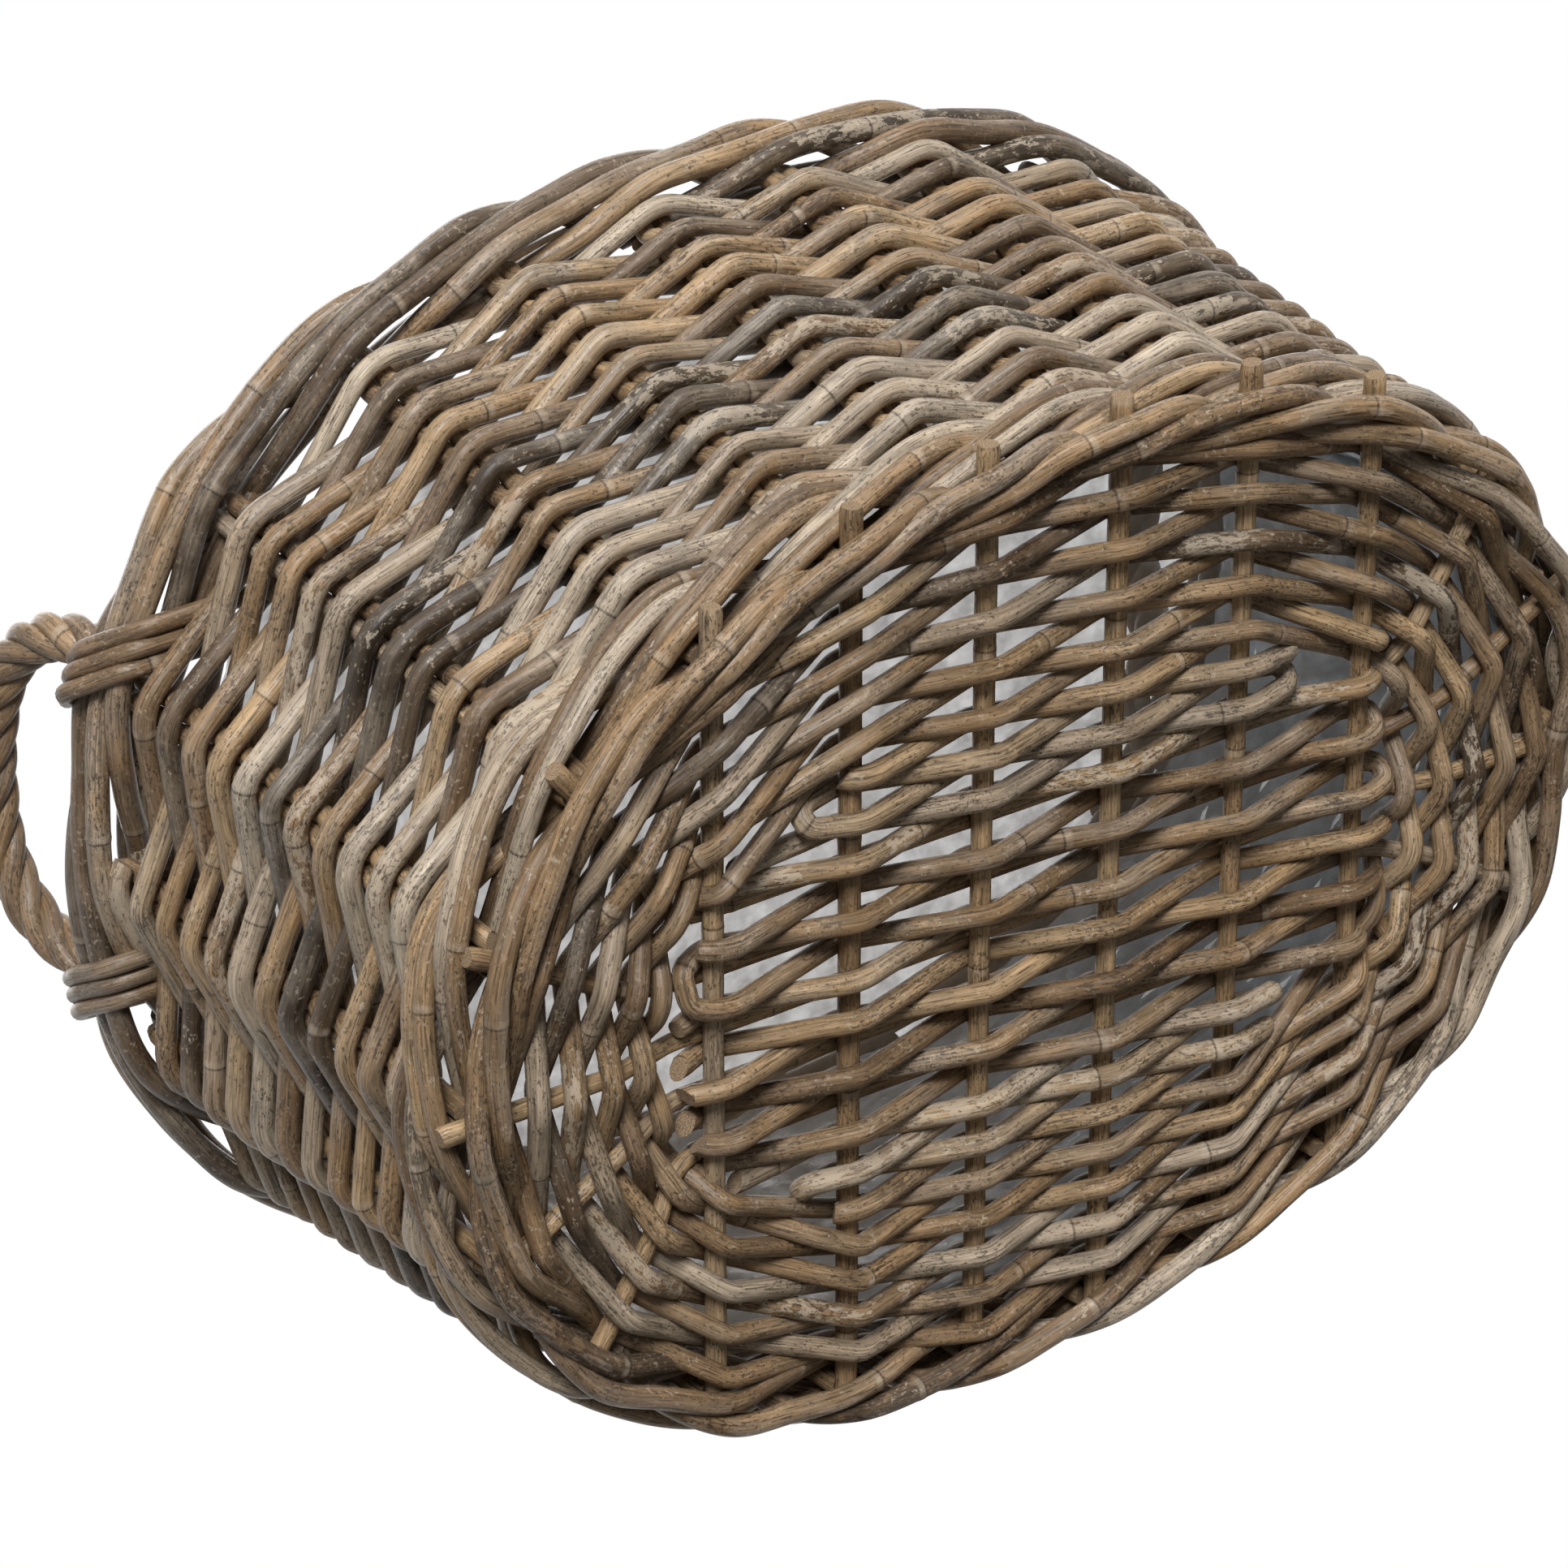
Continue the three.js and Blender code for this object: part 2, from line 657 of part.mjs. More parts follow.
// A round-cornered rectangle of points: outward and up
function bindingLoop(halfWidth, halfHeight) {
  const loop = [];
  for (let corner = 0; corner < 4; corner++) {
    const outward = corner === 0 || corner === 3 ? 1 : -1;
    const up = corner < 2 ? 1 : -1;
    for (let i = 0; i < CORNER_POINTS; i++) {
      const angle = (Math.PI / 2) * (corner + i / (CORNER_POINTS - 1));
      loop.push([
        outward * (halfWidth - BINDING_CORNER) + BINDING_CORNER * Math.cos(angle),
        up * (halfHeight - BINDING_CORNER) + BINDING_CORNER * Math.sin(angle),
      ]);
    }
  }
  return loop;
}

// The turns at a foot go round the border as near the foot as the stakes beside it allow.
function bindingPoints(across) {
  const { here, length, tangent, outward, from, step } = borderPlaceAt(across);
  const reach = Math.max(
    wallReach(step, borderMiddle, BORDER_ROD, true),
    wallReach(step + 1, borderMiddle, BORDER_ROD, true),
  );
  const loop = bindingLoop(reach + (BORDER_ROD + BINDING_ROD) / 2 + BINDING_SPARE, bindingHalfHeight);
  const width = BINDING_TURNS * BINDING_PITCH;
  const room = STAKE_PAIR_OFFSET + (STAKE_ROD + BINDING_ROD) / 2 + BINDING_SPARE + width / 2;
  const middle = THREE.MathUtils.clamp(from, room, length - room);
  const count = BINDING_TURNS * loop.length;
  const points = [];
  for (let i = 0; i <= count; i++) {
    const [out, up] = loop[i % loop.length];
    const along = middle + (i / count - 0.5) * width;
    const point = here.clone().addScaledVector(tangent, along).addScaledVector(outward, out);
    points.push(point.setZ(borderMiddle + up));
  }
  return { points, tangent };
}

// The least distance between points of different turns, less the rod's thickness
function leastTurnGap(points) {
  const perTurn = (points.length - 1) / BINDING_TURNS;
  let least = Infinity;
  for (let i = 0; i < points.length; i++) {
    for (let j = i + perTurn / 2; j < points.length; j++) {
      least = Math.min(least, points[i].distanceTo(points[j]) - BINDING_ROD);
    }
  }
  return least;
}

// A handle is one roped bow whose rods end in turns round the border at each foot.
function handlePoints() {
  const footHeight = RIM_HEIGHT + HANDLE_FOOT_RISE;
  const rise = HANDLE_TOP_HEIGHT - HANDLE_ROPE / 2 - footHeight;
  const foot = (across) => {
    const { here, tangent, outward, from } = borderPlaceAt(across);
    return here.addScaledVector(tangent, from).addScaledVector(outward, HANDLE_FOOT_OUTSET);
  };
  const low = foot(HANDLE_LOW_SIDE);
  const high = foot(HANDLE_HIGH_SIDE);
  const points = [];
  for (let i = 0; i <= HANDLE_STEPS; i++) {
    const turn = (Math.PI * i) / HANDLE_STEPS;
    const share = (1 - signedPower(Math.cos(turn), 2 / HANDLE_ARCH_POWER)) / 2;
    const up = Math.abs(Math.sin(turn)) ** (2 / HANDLE_ARCH_POWER);
    const point = low.clone().lerp(high, share);
    point.x -= HANDLE_LEAN * up;
    point.z = footHeight + rise * up;
    points.push(point);
  }
  return points;
}

function toSolid(geometry) {
  return new wasm.Manifold(new wasm.Mesh({
    numProp: 3,
    vertProperties: new Float32Array(geometry.attributes.position.array),
    triVerts: new Uint32Array(geometry.index.array),
  }));
}

function handleGeometry() {
  const alongEnd = new THREE.Vector3(-1, 0, 0);
  let solid = toSolid(rodGeometry(handlePoints(), roundSection(HANDLE_ROPE, HANDLE_SIDES), alongEnd));
  for (const across of [HANDLE_LOW_SIDE, HANDLE_HIGH_SIDE]) {
    const { points, tangent } = bindingPoints(across);
    console.log(`least gap between the binding's turns: ${leastTurnGap(points).toFixed(2)} mm`);
    solid = solid.add(toSolid(rodGeometry(points, roundSection(BINDING_ROD, FLAT_ROD_SIDES), tangent)));
  }
  const mesh = solid.getMesh();
  return closedGeometry(Array.from(mesh.vertProperties), Array.from(mesh.triVerts));
}

function addHandles() {
  const geometry = handleGeometry();
  addMesh('handle_left', geometry, handleMaterial);
  const right = addMesh('handle_right', geometry.clone(), handleMaterial);
  right.rotation.z = Math.PI;
}

// The liner is an open bag inside the weave: an outer and an inner skin, joined at the top.
function addLiner() {
  const thickest = Math.max(WALL_ROD, FOOT_ROD);
  let inset = 0;
  for (let step = 0; step < STATIONS; step++) {
    const deepest = wallReach(step, upsetMiddle, thickest, false) + thickest / 2;
    inset = Math.max(inset, deepest + LINER_SPARE);
  }
  let floorHeight = 0;
  for (const mesh of basket.children) {
    if (mesh.name.startsWith('base_') || mesh.name.startsWith('foot_')) {
      mesh.geometry.computeBoundingBox();
      floorHeight = Math.max(floorHeight, mesh.geometry.boundingBox.max.z + LINER_SPARE);
    }
  }
  const rings = [
    { height: floorHeight, inset },
    { height: LINER_TOP_HEIGHT, inset },
    { height: LINER_TOP_HEIGHT, inset: inset + LINER_WALL },
    { height: floorHeight + LINER_WALL, inset: inset + LINER_WALL },
  ];
  const positions = [];
  const indices = [];
  rings.forEach((ring) => {
    for (let i = 0; i < LINER_POINTS; i++) {
      const angle = (2 * Math.PI * (i + 0.5)) / LINER_POINTS;
      const point = ovalPoint(angle, ring.height, -ring.inset);
      positions.push(point.x, point.y, point.z);
    }
  });
  for (let ring = 0; ring < rings.length - 1; ring++) {
    for (let i = 0; i < LINER_POINTS; i++) {
      const a = ring * LINER_POINTS + i;
      const b = ring * LINER_POINTS + ((i + 1) % LINER_POINTS);
      indices.push(a, b, a + LINER_POINTS, b, b + LINER_POINTS, a + LINER_POINTS);
    }
  }
  const outerMiddle = positions.length / 3;
  positions.push(0, 0, floorHeight, 0, 0, floorHeight + LINER_WALL);
  const innerRing = (rings.length - 1) * LINER_POINTS;
  for (let i = 0; i < LINER_POINTS; i++) {
    const next = (i + 1) % LINER_POINTS;
    indices.push(outerMiddle, next, i);
    indices.push(outerMiddle + 1, innerRing + i, innerRing + next);
  }
  addMesh('clear_liner', closedGeometry(positions, indices), linerMaterial);
}

addCrossSticks();
addLongSticks();
addPackingWeavers();
addRoundWeavers();
addLay('foot_rod', 3, roundSection(FOOT_ROD, FLAT_ROD_SIDES, true), footPoint, footMaterial, true);
addLay('upset_rod', 3, roundSection(FOOT_ROD, ROD_SIDES), upsetPoint, footMaterial);
addStakes();
addWallWeavers();
addLay('border_rod', 4, roundSection(BORDER_ROD, ROD_SIDES), borderPoint, borderMaterial);
addHandles();
addLiner();

export default basket;
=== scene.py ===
# %% [markdown]
# # An oval basket of weathered rattan
#
# The basket is about two hundred rods of whole rattan, each 8 to 11 mm thick, woven round
# pairs of upright stakes. A plain frame of it, with smooth rods in their places, is loaded
# first. This script then gives each rod its bark, its joints, its bends and its wear.
# All lengths are in metres. +X runs along the oval and +Z up through the mouth.

# %% Load the frame
import math
import random

import bpy
import bmesh
from mathutils import Matrix, Vector, noise


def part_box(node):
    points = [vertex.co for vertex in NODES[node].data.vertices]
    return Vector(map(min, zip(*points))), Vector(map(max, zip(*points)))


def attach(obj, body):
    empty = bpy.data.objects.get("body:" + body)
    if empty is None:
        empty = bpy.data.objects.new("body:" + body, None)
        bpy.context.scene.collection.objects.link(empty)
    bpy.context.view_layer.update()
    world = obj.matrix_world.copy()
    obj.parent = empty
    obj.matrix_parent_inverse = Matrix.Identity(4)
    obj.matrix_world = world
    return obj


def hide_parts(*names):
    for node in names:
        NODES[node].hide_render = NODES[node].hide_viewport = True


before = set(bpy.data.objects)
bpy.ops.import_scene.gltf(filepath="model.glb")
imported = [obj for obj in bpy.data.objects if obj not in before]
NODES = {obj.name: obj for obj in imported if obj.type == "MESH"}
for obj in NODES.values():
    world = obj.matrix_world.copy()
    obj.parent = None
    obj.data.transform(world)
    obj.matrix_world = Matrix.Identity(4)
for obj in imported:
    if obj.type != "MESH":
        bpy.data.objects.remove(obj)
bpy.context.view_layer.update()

# %% [markdown]
# ## The view
#
# The basket lies so that we look up at its underside. A camera is placed by the spot it
# stands on and three directions: its right, its up and its back. A long lens keeps the
# oval from spreading towards us, as a product photographer would have it.

# %% The camera
CAMERA_PLACE = Vector((-1.3071, -1.2758, -1.6868))
CAMERA_RIGHT = Vector((0.823, 0.000, -0.568)).normalized()
CAMERA_UP_HINT = Vector((0.279, -0.871, 0.405))
CAMERA_LENS_MM = 135.76
SENSOR_MM = 36

camera_back = CAMERA_RIGHT.cross(CAMERA_UP_HINT).normalized()
camera_up = camera_back.cross(CAMERA_RIGHT)
camera_data = bpy.data.cameras.new("camera")
camera_data.lens = CAMERA_LENS_MM
camera_data.sensor_width = SENSOR_MM
camera_data.clip_end = 50
camera = bpy.data.objects.new("camera", camera_data)
turned = Matrix((CAMERA_RIGHT, camera_up, camera_back)).transposed().to_4x4()
camera.matrix_world = Matrix.Translation(CAMERA_PLACE) @ turned
bpy.context.scene.collection.objects.link(camera)
bpy.context.scene.camera = camera
print("camera looks along", tuple(round(v, 3) for v in -camera_back))

# %% [markdown]
# ## A short way to write node trees
#
# Geometry and shader trees are both nodes joined by links. These few helpers add a node,
# fill its sockets with numbers or links, and hand back the socket that the next one needs,
# so that a tree below reads from top to bottom like a sum.


# %% Helpers for node trees
class Wiring:
    """Adds nodes to one tree. A value that is a socket is linked, and any other is set."""

    def __init__(self, tree):
        self.tree = tree

    def node(self, kind, inputs=None, **settings):
        made = self.tree.nodes.new(kind)
        for name, value in settings.items():
            setattr(made, name, value)
        for key, value in (inputs or {}).items():
            self.feed(made.inputs[key], value)
        return made

    def feed(self, socket, value):
        if isinstance(value, bpy.types.NodeSocket):
            self.tree.links.new(value, socket)
        else:
            socket.default_value = value

    def math(self, operation, *values):
        made = self.node("ShaderNodeMath", dict(enumerate(values)), operation=operation)
        return made.outputs[0]

    def vector(self, operation, *values):
        made = self.node("ShaderNodeVectorMath", dict(enumerate(values)), operation=operation)
        return made.outputs[0]

    def scaled(self, vector, factor):
        made = self.node("ShaderNodeVectorMath", {0: vector, "Scale": factor}, operation="SCALE")
        return made.outputs[0]

    def combine(self, x=0.0, y=0.0, z=0.0):
        return self.node("ShaderNodeCombineXYZ", {"X": x, "Y": y, "Z": z}).outputs[0]

    def lot(self, number, factor):
        """Draws a lot from 0 to 1 for a number, as what is left of a multiple of it."""
        return self.math("FRACT", self.math("MULTIPLY", number, factor))

    def between(self, value, low, high, to_low=0.0, to_high=1.0, smooth=False):
        """Maps a value from one range to another, and holds it within the second."""
        kind = "SMOOTHSTEP" if smooth else "LINEAR"
        inputs = {"Value": value, "From Min": low, "From Max": high, "To Min": to_low, "To Max": to_high}
        return self.node("ShaderNodeMapRange", inputs, interpolation_type=kind).outputs[0]

    def noise(self, vector, scale, detail=2.0, roughness=0.5):
        inputs = {"Vector": vector, "Scale": scale, "Detail": detail, "Roughness": roughness}
        return self.node("ShaderNodeTexNoise", inputs)

    def stretched_noise(self, place, stretch, scale, detail=2.0, roughness=0.5):
        """Noise whose specks are long in the directions where the stretch is small."""
        return self.noise(self.vector("MULTIPLY", place, stretch), scale, detail, roughness).outputs["Fac"]

    def mix(self, share, first, second):
        """Mixes two colours. Of the node's many sockets, these are the ones for colours."""
        colours = {0: share, 6: first, 7: second}
        return self.node("ShaderNodeMix", colours, data_type="RGBA").outputs[2]


print("helpers:", [name for name in vars(Wiring) if not name.startswith("_")])


# %% New materials, objects and trees
FLOAT, INTEGER, SWITCH = "NodeSocketFloat", "NodeSocketInt", "NodeSocketBool"
VECTOR, COLOUR, SHAPE = "NodeSocketVector", "NodeSocketColor", "NodeSocketGeometry"


def new_material(name):
    """A material with an empty node tree, as (material, wiring)."""
    material = bpy.data.materials.new(name)
    material.use_nodes = True
    material.node_tree.nodes.clear()
    return material, Wiring(material.node_tree)


def add_to_scene(name, data):
    """A new object in the scene that shows a mesh or is a lamp."""
    made = bpy.data.objects.new(name, data)
    bpy.context.scene.collection.objects.link(made)
    return made


def new_tree(name, kind, inputs, outputs):
    """A node group with named sockets, as (tree, wiring, the sockets it takes, the sockets it gives)."""
    tree = bpy.data.node_groups.new(name, kind)
    for label, socket_type, default in inputs:
        socket = tree.interface.new_socket(label, in_out="INPUT", socket_type=socket_type)
        if default is not None:
            socket.default_value = default
    for label, socket_type in outputs:
        tree.interface.new_socket(label, in_out="OUTPUT", socket_type=socket_type)
    wiring = Wiring(tree)
    taken = wiring.node("NodeGroupInput").outputs
    given = wiring.node("NodeGroupOutput").inputs
    return tree, wiring, taken, given


print("socket kinds:", FLOAT, INTEGER, SWITCH, VECTOR, COLOUR, SHAPE)

# %% [markdown]
# ## One rod of rattan, as geometry nodes
#
# Every rod in the basket is the same thing on another route: a round cane with joints,
# called nodes, every hand's breadth or two. A joint has a raised ring with a small ledge
# on one side. The rod is never quite straight and never quite the same thickness.
#
# A modelled tube for each rod would be slow to change. A geometry node tree takes plain
# lines instead, bends them, and wraps a section round them. It also writes down, at each
# point of the surface, how far along the rod it is and on which side, so that the bark can
# follow the rod round its bends.

# %% What the tree takes, and how it reads and stores attributes
ROD_INPUTS = [
    ("Lines", SHAPE, None),
    ("Thickness", FLOAT, 0.008),
    ("Sides", INTEGER, 12),
    ("Step", FLOAT, 0.0028),
    ("Sweeping", SWITCH, False),
    ("Joint Spacing", FLOAT, 0.16),
    ("Joint Rise", FLOAT, 0.05),
    ("Unevenness", FLOAT, 0.06),
    ("Wander", FLOAT, 0.0006),
    ("Slant Of Cut", FLOAT, 0.8),
    ("Seed", FLOAT, 1.0),
    ("Material", "NodeSocketMaterial", None),
]


def named(w, name, kind="FLOAT"):
    """The value of a named attribute."""
    return w.node("GeometryNodeInputNamedAttribute", {"Name": name}, data_type=kind).outputs[0]


def store(w, geometry, name, value, kind="FLOAT", domain="POINT"):
    inputs = {"Geometry": geometry, "Name": name, "Value": value}
    return w.node("GeometryNodeStoreNamedAttribute", inputs, data_type=kind, domain=domain).outputs[0]


print("inputs of the rod tree:", len(ROD_INPUTS))

# %% The route: lines with rounded corners, or one long sweep through all the points
BEND_STEPS = 7
SWEEP_STEPS = 24


def rod_route(w, taken):
    lines = w.node("GeometryNodeMeshToCurve", {"Mesh": taken["Lines"]}).outputs[0]
    corners = {"Curve": lines, "Count": BEND_STEPS, "Radius": named(w, "bend"), "Limit Radius": True}
    bent = w.node("GeometryNodeFilletCurve", corners, mode="POLY").outputs[0]
    swept = w.node("GeometryNodeCurveSplineType", {"Curve": lines}, spline_type="CATMULL_ROM").outputs[0]
    swept = w.node("GeometryNodeSetSplineResolution", {0: swept, "Resolution": SWEEP_STEPS}).outputs[0]
    either = {"Switch": taken["Sweeping"], "False": bent, "True": swept}
    route = w.node("GeometryNodeSwitch", either).outputs[0]
    even = {"Curve": route, "Length": taken["Step"]}
    return w.node("GeometryNodeResampleCurve", even, mode="LENGTH").outputs[0]


print("steps round a corner:", BEND_STEPS)

# %% The joints: a raised ring, and a ledge that falls away on one side of it
JOINT_RING_HALF = 0.0024
JOINT_LEDGE_LENGTH = 0.013
JOINT_LEDGE_SHARE = 0.6
SPACING_LEAST, SPACING_RANGE = 0.75, 0.6
SPACING_LOT, START_LOT = 0.373, 0.618


def rod_joints(w, taken, rod, along):
    """How much the joints swell the rod, the joints passed so far, and the way between two."""
    spacing = w.math("MULTIPLY_ADD", w.lot(rod, SPACING_LOT), SPACING_RANGE, SPACING_LEAST)
    spacing = w.math("MULTIPLY", taken["Joint Spacing"], spacing)
    turns = w.math("ADD", w.math("DIVIDE", along, spacing), w.lot(rod, START_LOT))
    from_joint = w.math("MULTIPLY", w.math("SUBTRACT", w.math("FRACT", turns), 0.5), spacing)
    ring = w.between(w.math("ABSOLUTE", from_joint), 0.0, JOINT_RING_HALF, 1.0, 0.0, smooth=True)
    ledge = w.between(from_joint, 0.0, JOINT_LEDGE_LENGTH, 1.0, 0.0)
    ledge = w.math("MULTIPLY", ledge, w.math("GREATER_THAN", from_joint, 0.0))
    return w.math("ADD", ring, w.math("MULTIPLY", ledge, JOINT_LEDGE_SHARE)), turns, spacing


print("a ledge beside a joint is", round(JOINT_LEDGE_LENGTH * 1000), "mm long")

# %% The shape along the rod: it wanders from its line, and swells and narrows
WANDER_WAVES, WANDER_LOT = 22.0, 3.17
UNEVEN_WAVES, UNEVEN_LOT = 40.0, 7.7
END_ROUNDING = 0.0016
END_NARROWING = 0.14


def noise_along(w, taken, rod, along, waves, lot, detail):
    place = w.combine(w.math("MULTIPLY", along, waves), w.math("MULTIPLY", rod, lot), taken["Seed"])
    return w.noise(place, 1.0, detail).outputs


def wandering(w, taken, rod, along, route):
    drift = noise_along(w, taken, rod, along, WANDER_WAVES, WANDER_LOT, 1.0)["Color"]
    drift = w.vector("SUBTRACT", drift, (0.5, 0.5, 0.5))
    drift = w.scaled(drift, w.math("MULTIPLY", taken["Wander"], 2.0))
    return w.node("GeometryNodeSetPosition", {"Geometry": route, "Offset": drift}).outputs[0]


def rod_radius(w, taken, rod, along, joint):
    whole = w.node("GeometryNodeSplineLength").outputs["Length"]
    uneven = noise_along(w, taken, rod, along, UNEVEN_WAVES, UNEVEN_LOT, 2.0)["Fac"]
    uneven = w.math("SUBTRACT", uneven, 0.5)
    to_end = w.math("MINIMUM", along, w.math("SUBTRACT", whole, along))
    narrowing = w.between(to_end, 0.0, END_ROUNDING, 1.0 - END_NARROWING, 1.0)
    size = w.math("MULTIPLY_ADD", joint, taken["Joint Rise"], 1.0)
    size = w.math("MULTIPLY_ADD", uneven, taken["Unevenness"], size)
    size = w.math("MULTIPLY", w.math("MULTIPLY", size, narrowing), named(w, "girth"))
    return w.math("MULTIPLY", w.math("MULTIPLY", taken["Thickness"], 0.5), size)


print("ends are narrower by", END_NARROWING, "over the last", round(END_ROUNDING * 1000, 1), "mm")

# %% The skin: a circle swept along the route, whose two ends are cut at a slant
SLANT_LOT = 12.9
CUT_FACES_ALONG = 0.6


def rod_skin(w, taken, route, radius):
    sides = {"Resolution": taken["Sides"], "Radius": 1.0}
    circle = w.node("GeometryNodeCurvePrimitiveCircle", sides).outputs[0]
    circle = store(w, circle, "across", w.node("GeometryNodeInputPosition").outputs[0], "FLOAT_VECTOR")
    sweep = {"Curve": route, "Profile Curve": circle, "Scale": radius, "Fill Caps": True}
    return w.node("GeometryNodeCurveToMesh", sweep).outputs[0]


def slanted_ends(w, taken, rod, mesh):
    side = w.node("ShaderNodeSeparateXYZ", {0: named(w, "across", "FLOAT_VECTOR")}).outputs["X"]
    slant = w.math("MULTIPLY", w.math("SINE", w.math("MULTIPLY", rod, SLANT_LOT)), taken["Slant Of Cut"])
    radius = w.math("MULTIPLY", taken["Thickness"], 0.5)
    slant = w.math("MULTIPLY", w.math("MULTIPLY", slant, side), radius)
    slant = w.scaled(named(w, "lay", "FLOAT_VECTOR"), slant)
    moved = {"Geometry": mesh, "Selection": named(w, "tip", "BOOLEAN"), "Offset": slant}
    return w.node("GeometryNodeSetPosition", moved).outputs[0]


def marked_cuts(w, mesh):
    """Marks the end faces as cut and keeps them flat, and lets the rest shade smooth."""
    faces_along = w.node(
        "ShaderNodeVectorMath",
        {0: w.node("GeometryNodeInputNormal").outputs[0], 1: named(w, "lay", "FLOAT_VECTOR")},
        operation="DOT_PRODUCT",
    ).outputs["Value"]
    cut = w.math("GREATER_THAN", w.math("ABSOLUTE", faces_along), CUT_FACES_ALONG)
    mesh = store(w, mesh, "cut", cut, domain="FACE")
    smooth = w.math("LESS_THAN", named(w, "cut"), 0.5)
    shaded = {"Geometry": mesh, "Shade Smooth": smooth}
    return w.node("GeometryNodeSetShadeSmooth", shaded, domain="FACE").outputs[0]


print("an end face looks along its rod by", CUT_FACES_ALONG, "or more")

# %% The whole tree
def make_rod_tree():
    tree, w, taken, given = new_tree("Rattan rods", "GeometryNodeTree", ROD_INPUTS, [("Rods", SHAPE)])
    rod = named(w, "rod")
    along = w.node("GeometryNodeSplineParameter").outputs["Length"]
    joint, turns, spacing = rod_joints(w, taken, rod, along)
    radius = rod_radius(w, taken, rod, along, joint)
    route = wandering(w, taken, rod, along, rod_route(w, taken))
    for label, value in (("along", along), ("turns", turns), ("spacing", spacing)):
        route = store(w, route, label, value)
    route = store(w, route, "lay", w.node("GeometryNodeInputTangent").outputs[0], "FLOAT_VECTOR")
    tips = w.node("GeometryNodeCurveEndpointSelection", {"Start Size": 1, "End Size": 1}).outputs[0]
    route = store(w, route, "tip", tips, "BOOLEAN")
    mesh = marked_cuts(w, slanted_ends(w, taken, rod, rod_skin(w, taken, route, radius)))
    mesh = w.node("GeometryNodeRealizeInstances", {"Geometry": mesh}).outputs[0]
    mesh = w.node("GeometryNodeSetMaterial", {"Geometry": mesh, "Material": taken["Material"]}).outputs[0]
    w.feed(given["Rods"], mesh)
    return tree


ROD_TREE = make_rod_tree()
ROD_ITEMS = ROD_TREE.interface.items_tree
ROD_SOCKETS = {item.name: item.identifier for item in ROD_ITEMS if item.in_out == "INPUT"}
print("rod tree:", len(ROD_TREE.nodes), "nodes, inputs", list(ROD_SOCKETS))

# %% [markdown]
# ## From a list of routes to a finished piece
#
# A rod is handed over as its route: a few points, the bend at each, how thick it is against
# its neighbours and what tone its bark has. `Rods` collects them for one piece of the
# basket, and `make_piece` runs the tree over them once and keeps the plain mesh.


# %% Collecting the rods of a piece
class Rods:
    """The routes of the rods in one piece."""

    made = 0

    def __init__(self):
        self.routes = []

    def add(self, points, tone, girth=1.0, bend=0.02, bends=None):
        """points is the route, bend the radius at its corners, or bends one radius for each."""
        Rods.made += 1
        bends = bends or [bend] * len(points)
        girths = girth if isinstance(girth, list) else [girth] * len(points)
        self.routes.append((points, bends, girths, tone, Rods.made))

    def mesh(self, name):
        points, edges = [], []
        columns = {"bend": [], "girth": [], "tone": [], "rod": []}
        for route, bends, girths, tone, number in self.routes:
            first = len(points)
            points += route
            edges += [(first + i, first + i + 1) for i in range(len(route) - 1)]
            columns["bend"] += bends
            columns["girth"] += girths
            columns["tone"] += [tone] * len(route)
            columns["rod"] += [float(number)] * len(route)
        mesh = bpy.data.meshes.new(name)
        mesh.from_pydata(points, edges, [])
        for label, values in columns.items():
            mesh.attributes.new(label, "FLOAT", "POINT").data.foreach_set("value", values)
        return mesh


print("rods so far:", Rods.made)

# %% Making a piece of them
def make_plain(piece):
    """Replaces a piece's modifiers by their result."""
    graph = bpy.context.evaluated_depsgraph_get()
    result = bpy.data.meshes.new_from_object(
        piece.evaluated_get(graph), preserve_all_data_layers=True, depsgraph=graph
    )
    piece.modifiers.clear()
    piece.data = result


def set_in_place(piece, slot, *nodes):
    """Ties a piece to the basket, and lets it stand for its nodes."""
    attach(piece, "root")
    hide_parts(*nodes)


def make_piece(node, rods, slot, material, **sizes):
    """Runs the rod tree over the rods of one piece, which stands for the node."""
    name = node + "_rods"
    piece = add_to_scene(name, rods.mesh(name))
    modifier = piece.modifiers.new("rods", "NODES")
    modifier.node_group = ROD_TREE
    for label, value in {"Material": material, **sizes}.items():
        modifier[ROD_SOCKETS[label]] = value
    make_plain(piece)
    set_in_place(piece, slot, node)


print("nodes to be dressed:", len(NODES))

# %% [markdown]
# ## The bark, as shared shader groups
#
# Rattan bark starts golden brown and glossy. Soaked, washed and dried in the sun it turns
# grey in places, cracks across at the bends, and flakes off in patches whose edges are
# sharp. Under it the cane is made of long fibres, which show as streaks.
#
# Each of these is one shader group, built once. They all read a place on the rod: across
# it and along it, shifted for each rod, so that no two rods match and no seam shows.

# %% Shader group: the place on a rod
ROD_RADIUS = 0.0042
SHIFT_X, SHIFT_Y, SHIFT_ALONG = 0.173, 0.311, 1.37


def make_place_group():
    inputs = [("Across", VECTOR, None), ("Along", FLOAT, 0.0), ("Rod", FLOAT, 0.0)]
    tree, w, taken, given = new_tree("Place on a rod", "ShaderNodeTree", inputs, [("Place", VECTOR)])
    round_it = w.vector("MULTIPLY", taken["Across"], (ROD_RADIUS, ROD_RADIUS, 0.0))
    shift = w.combine(
        w.math("MULTIPLY", taken["Rod"], SHIFT_X),
        w.math("MULTIPLY", taken["Rod"], SHIFT_Y),
        w.math("MULTIPLY_ADD", taken["Rod"], SHIFT_ALONG, taken["Along"]),
    )
    w.feed(given["Place"], w.vector("ADD", round_it, shift))
    return tree


PLACE_GROUP = make_place_group()
print("place group:", len(PLACE_GROUP.nodes), "nodes")


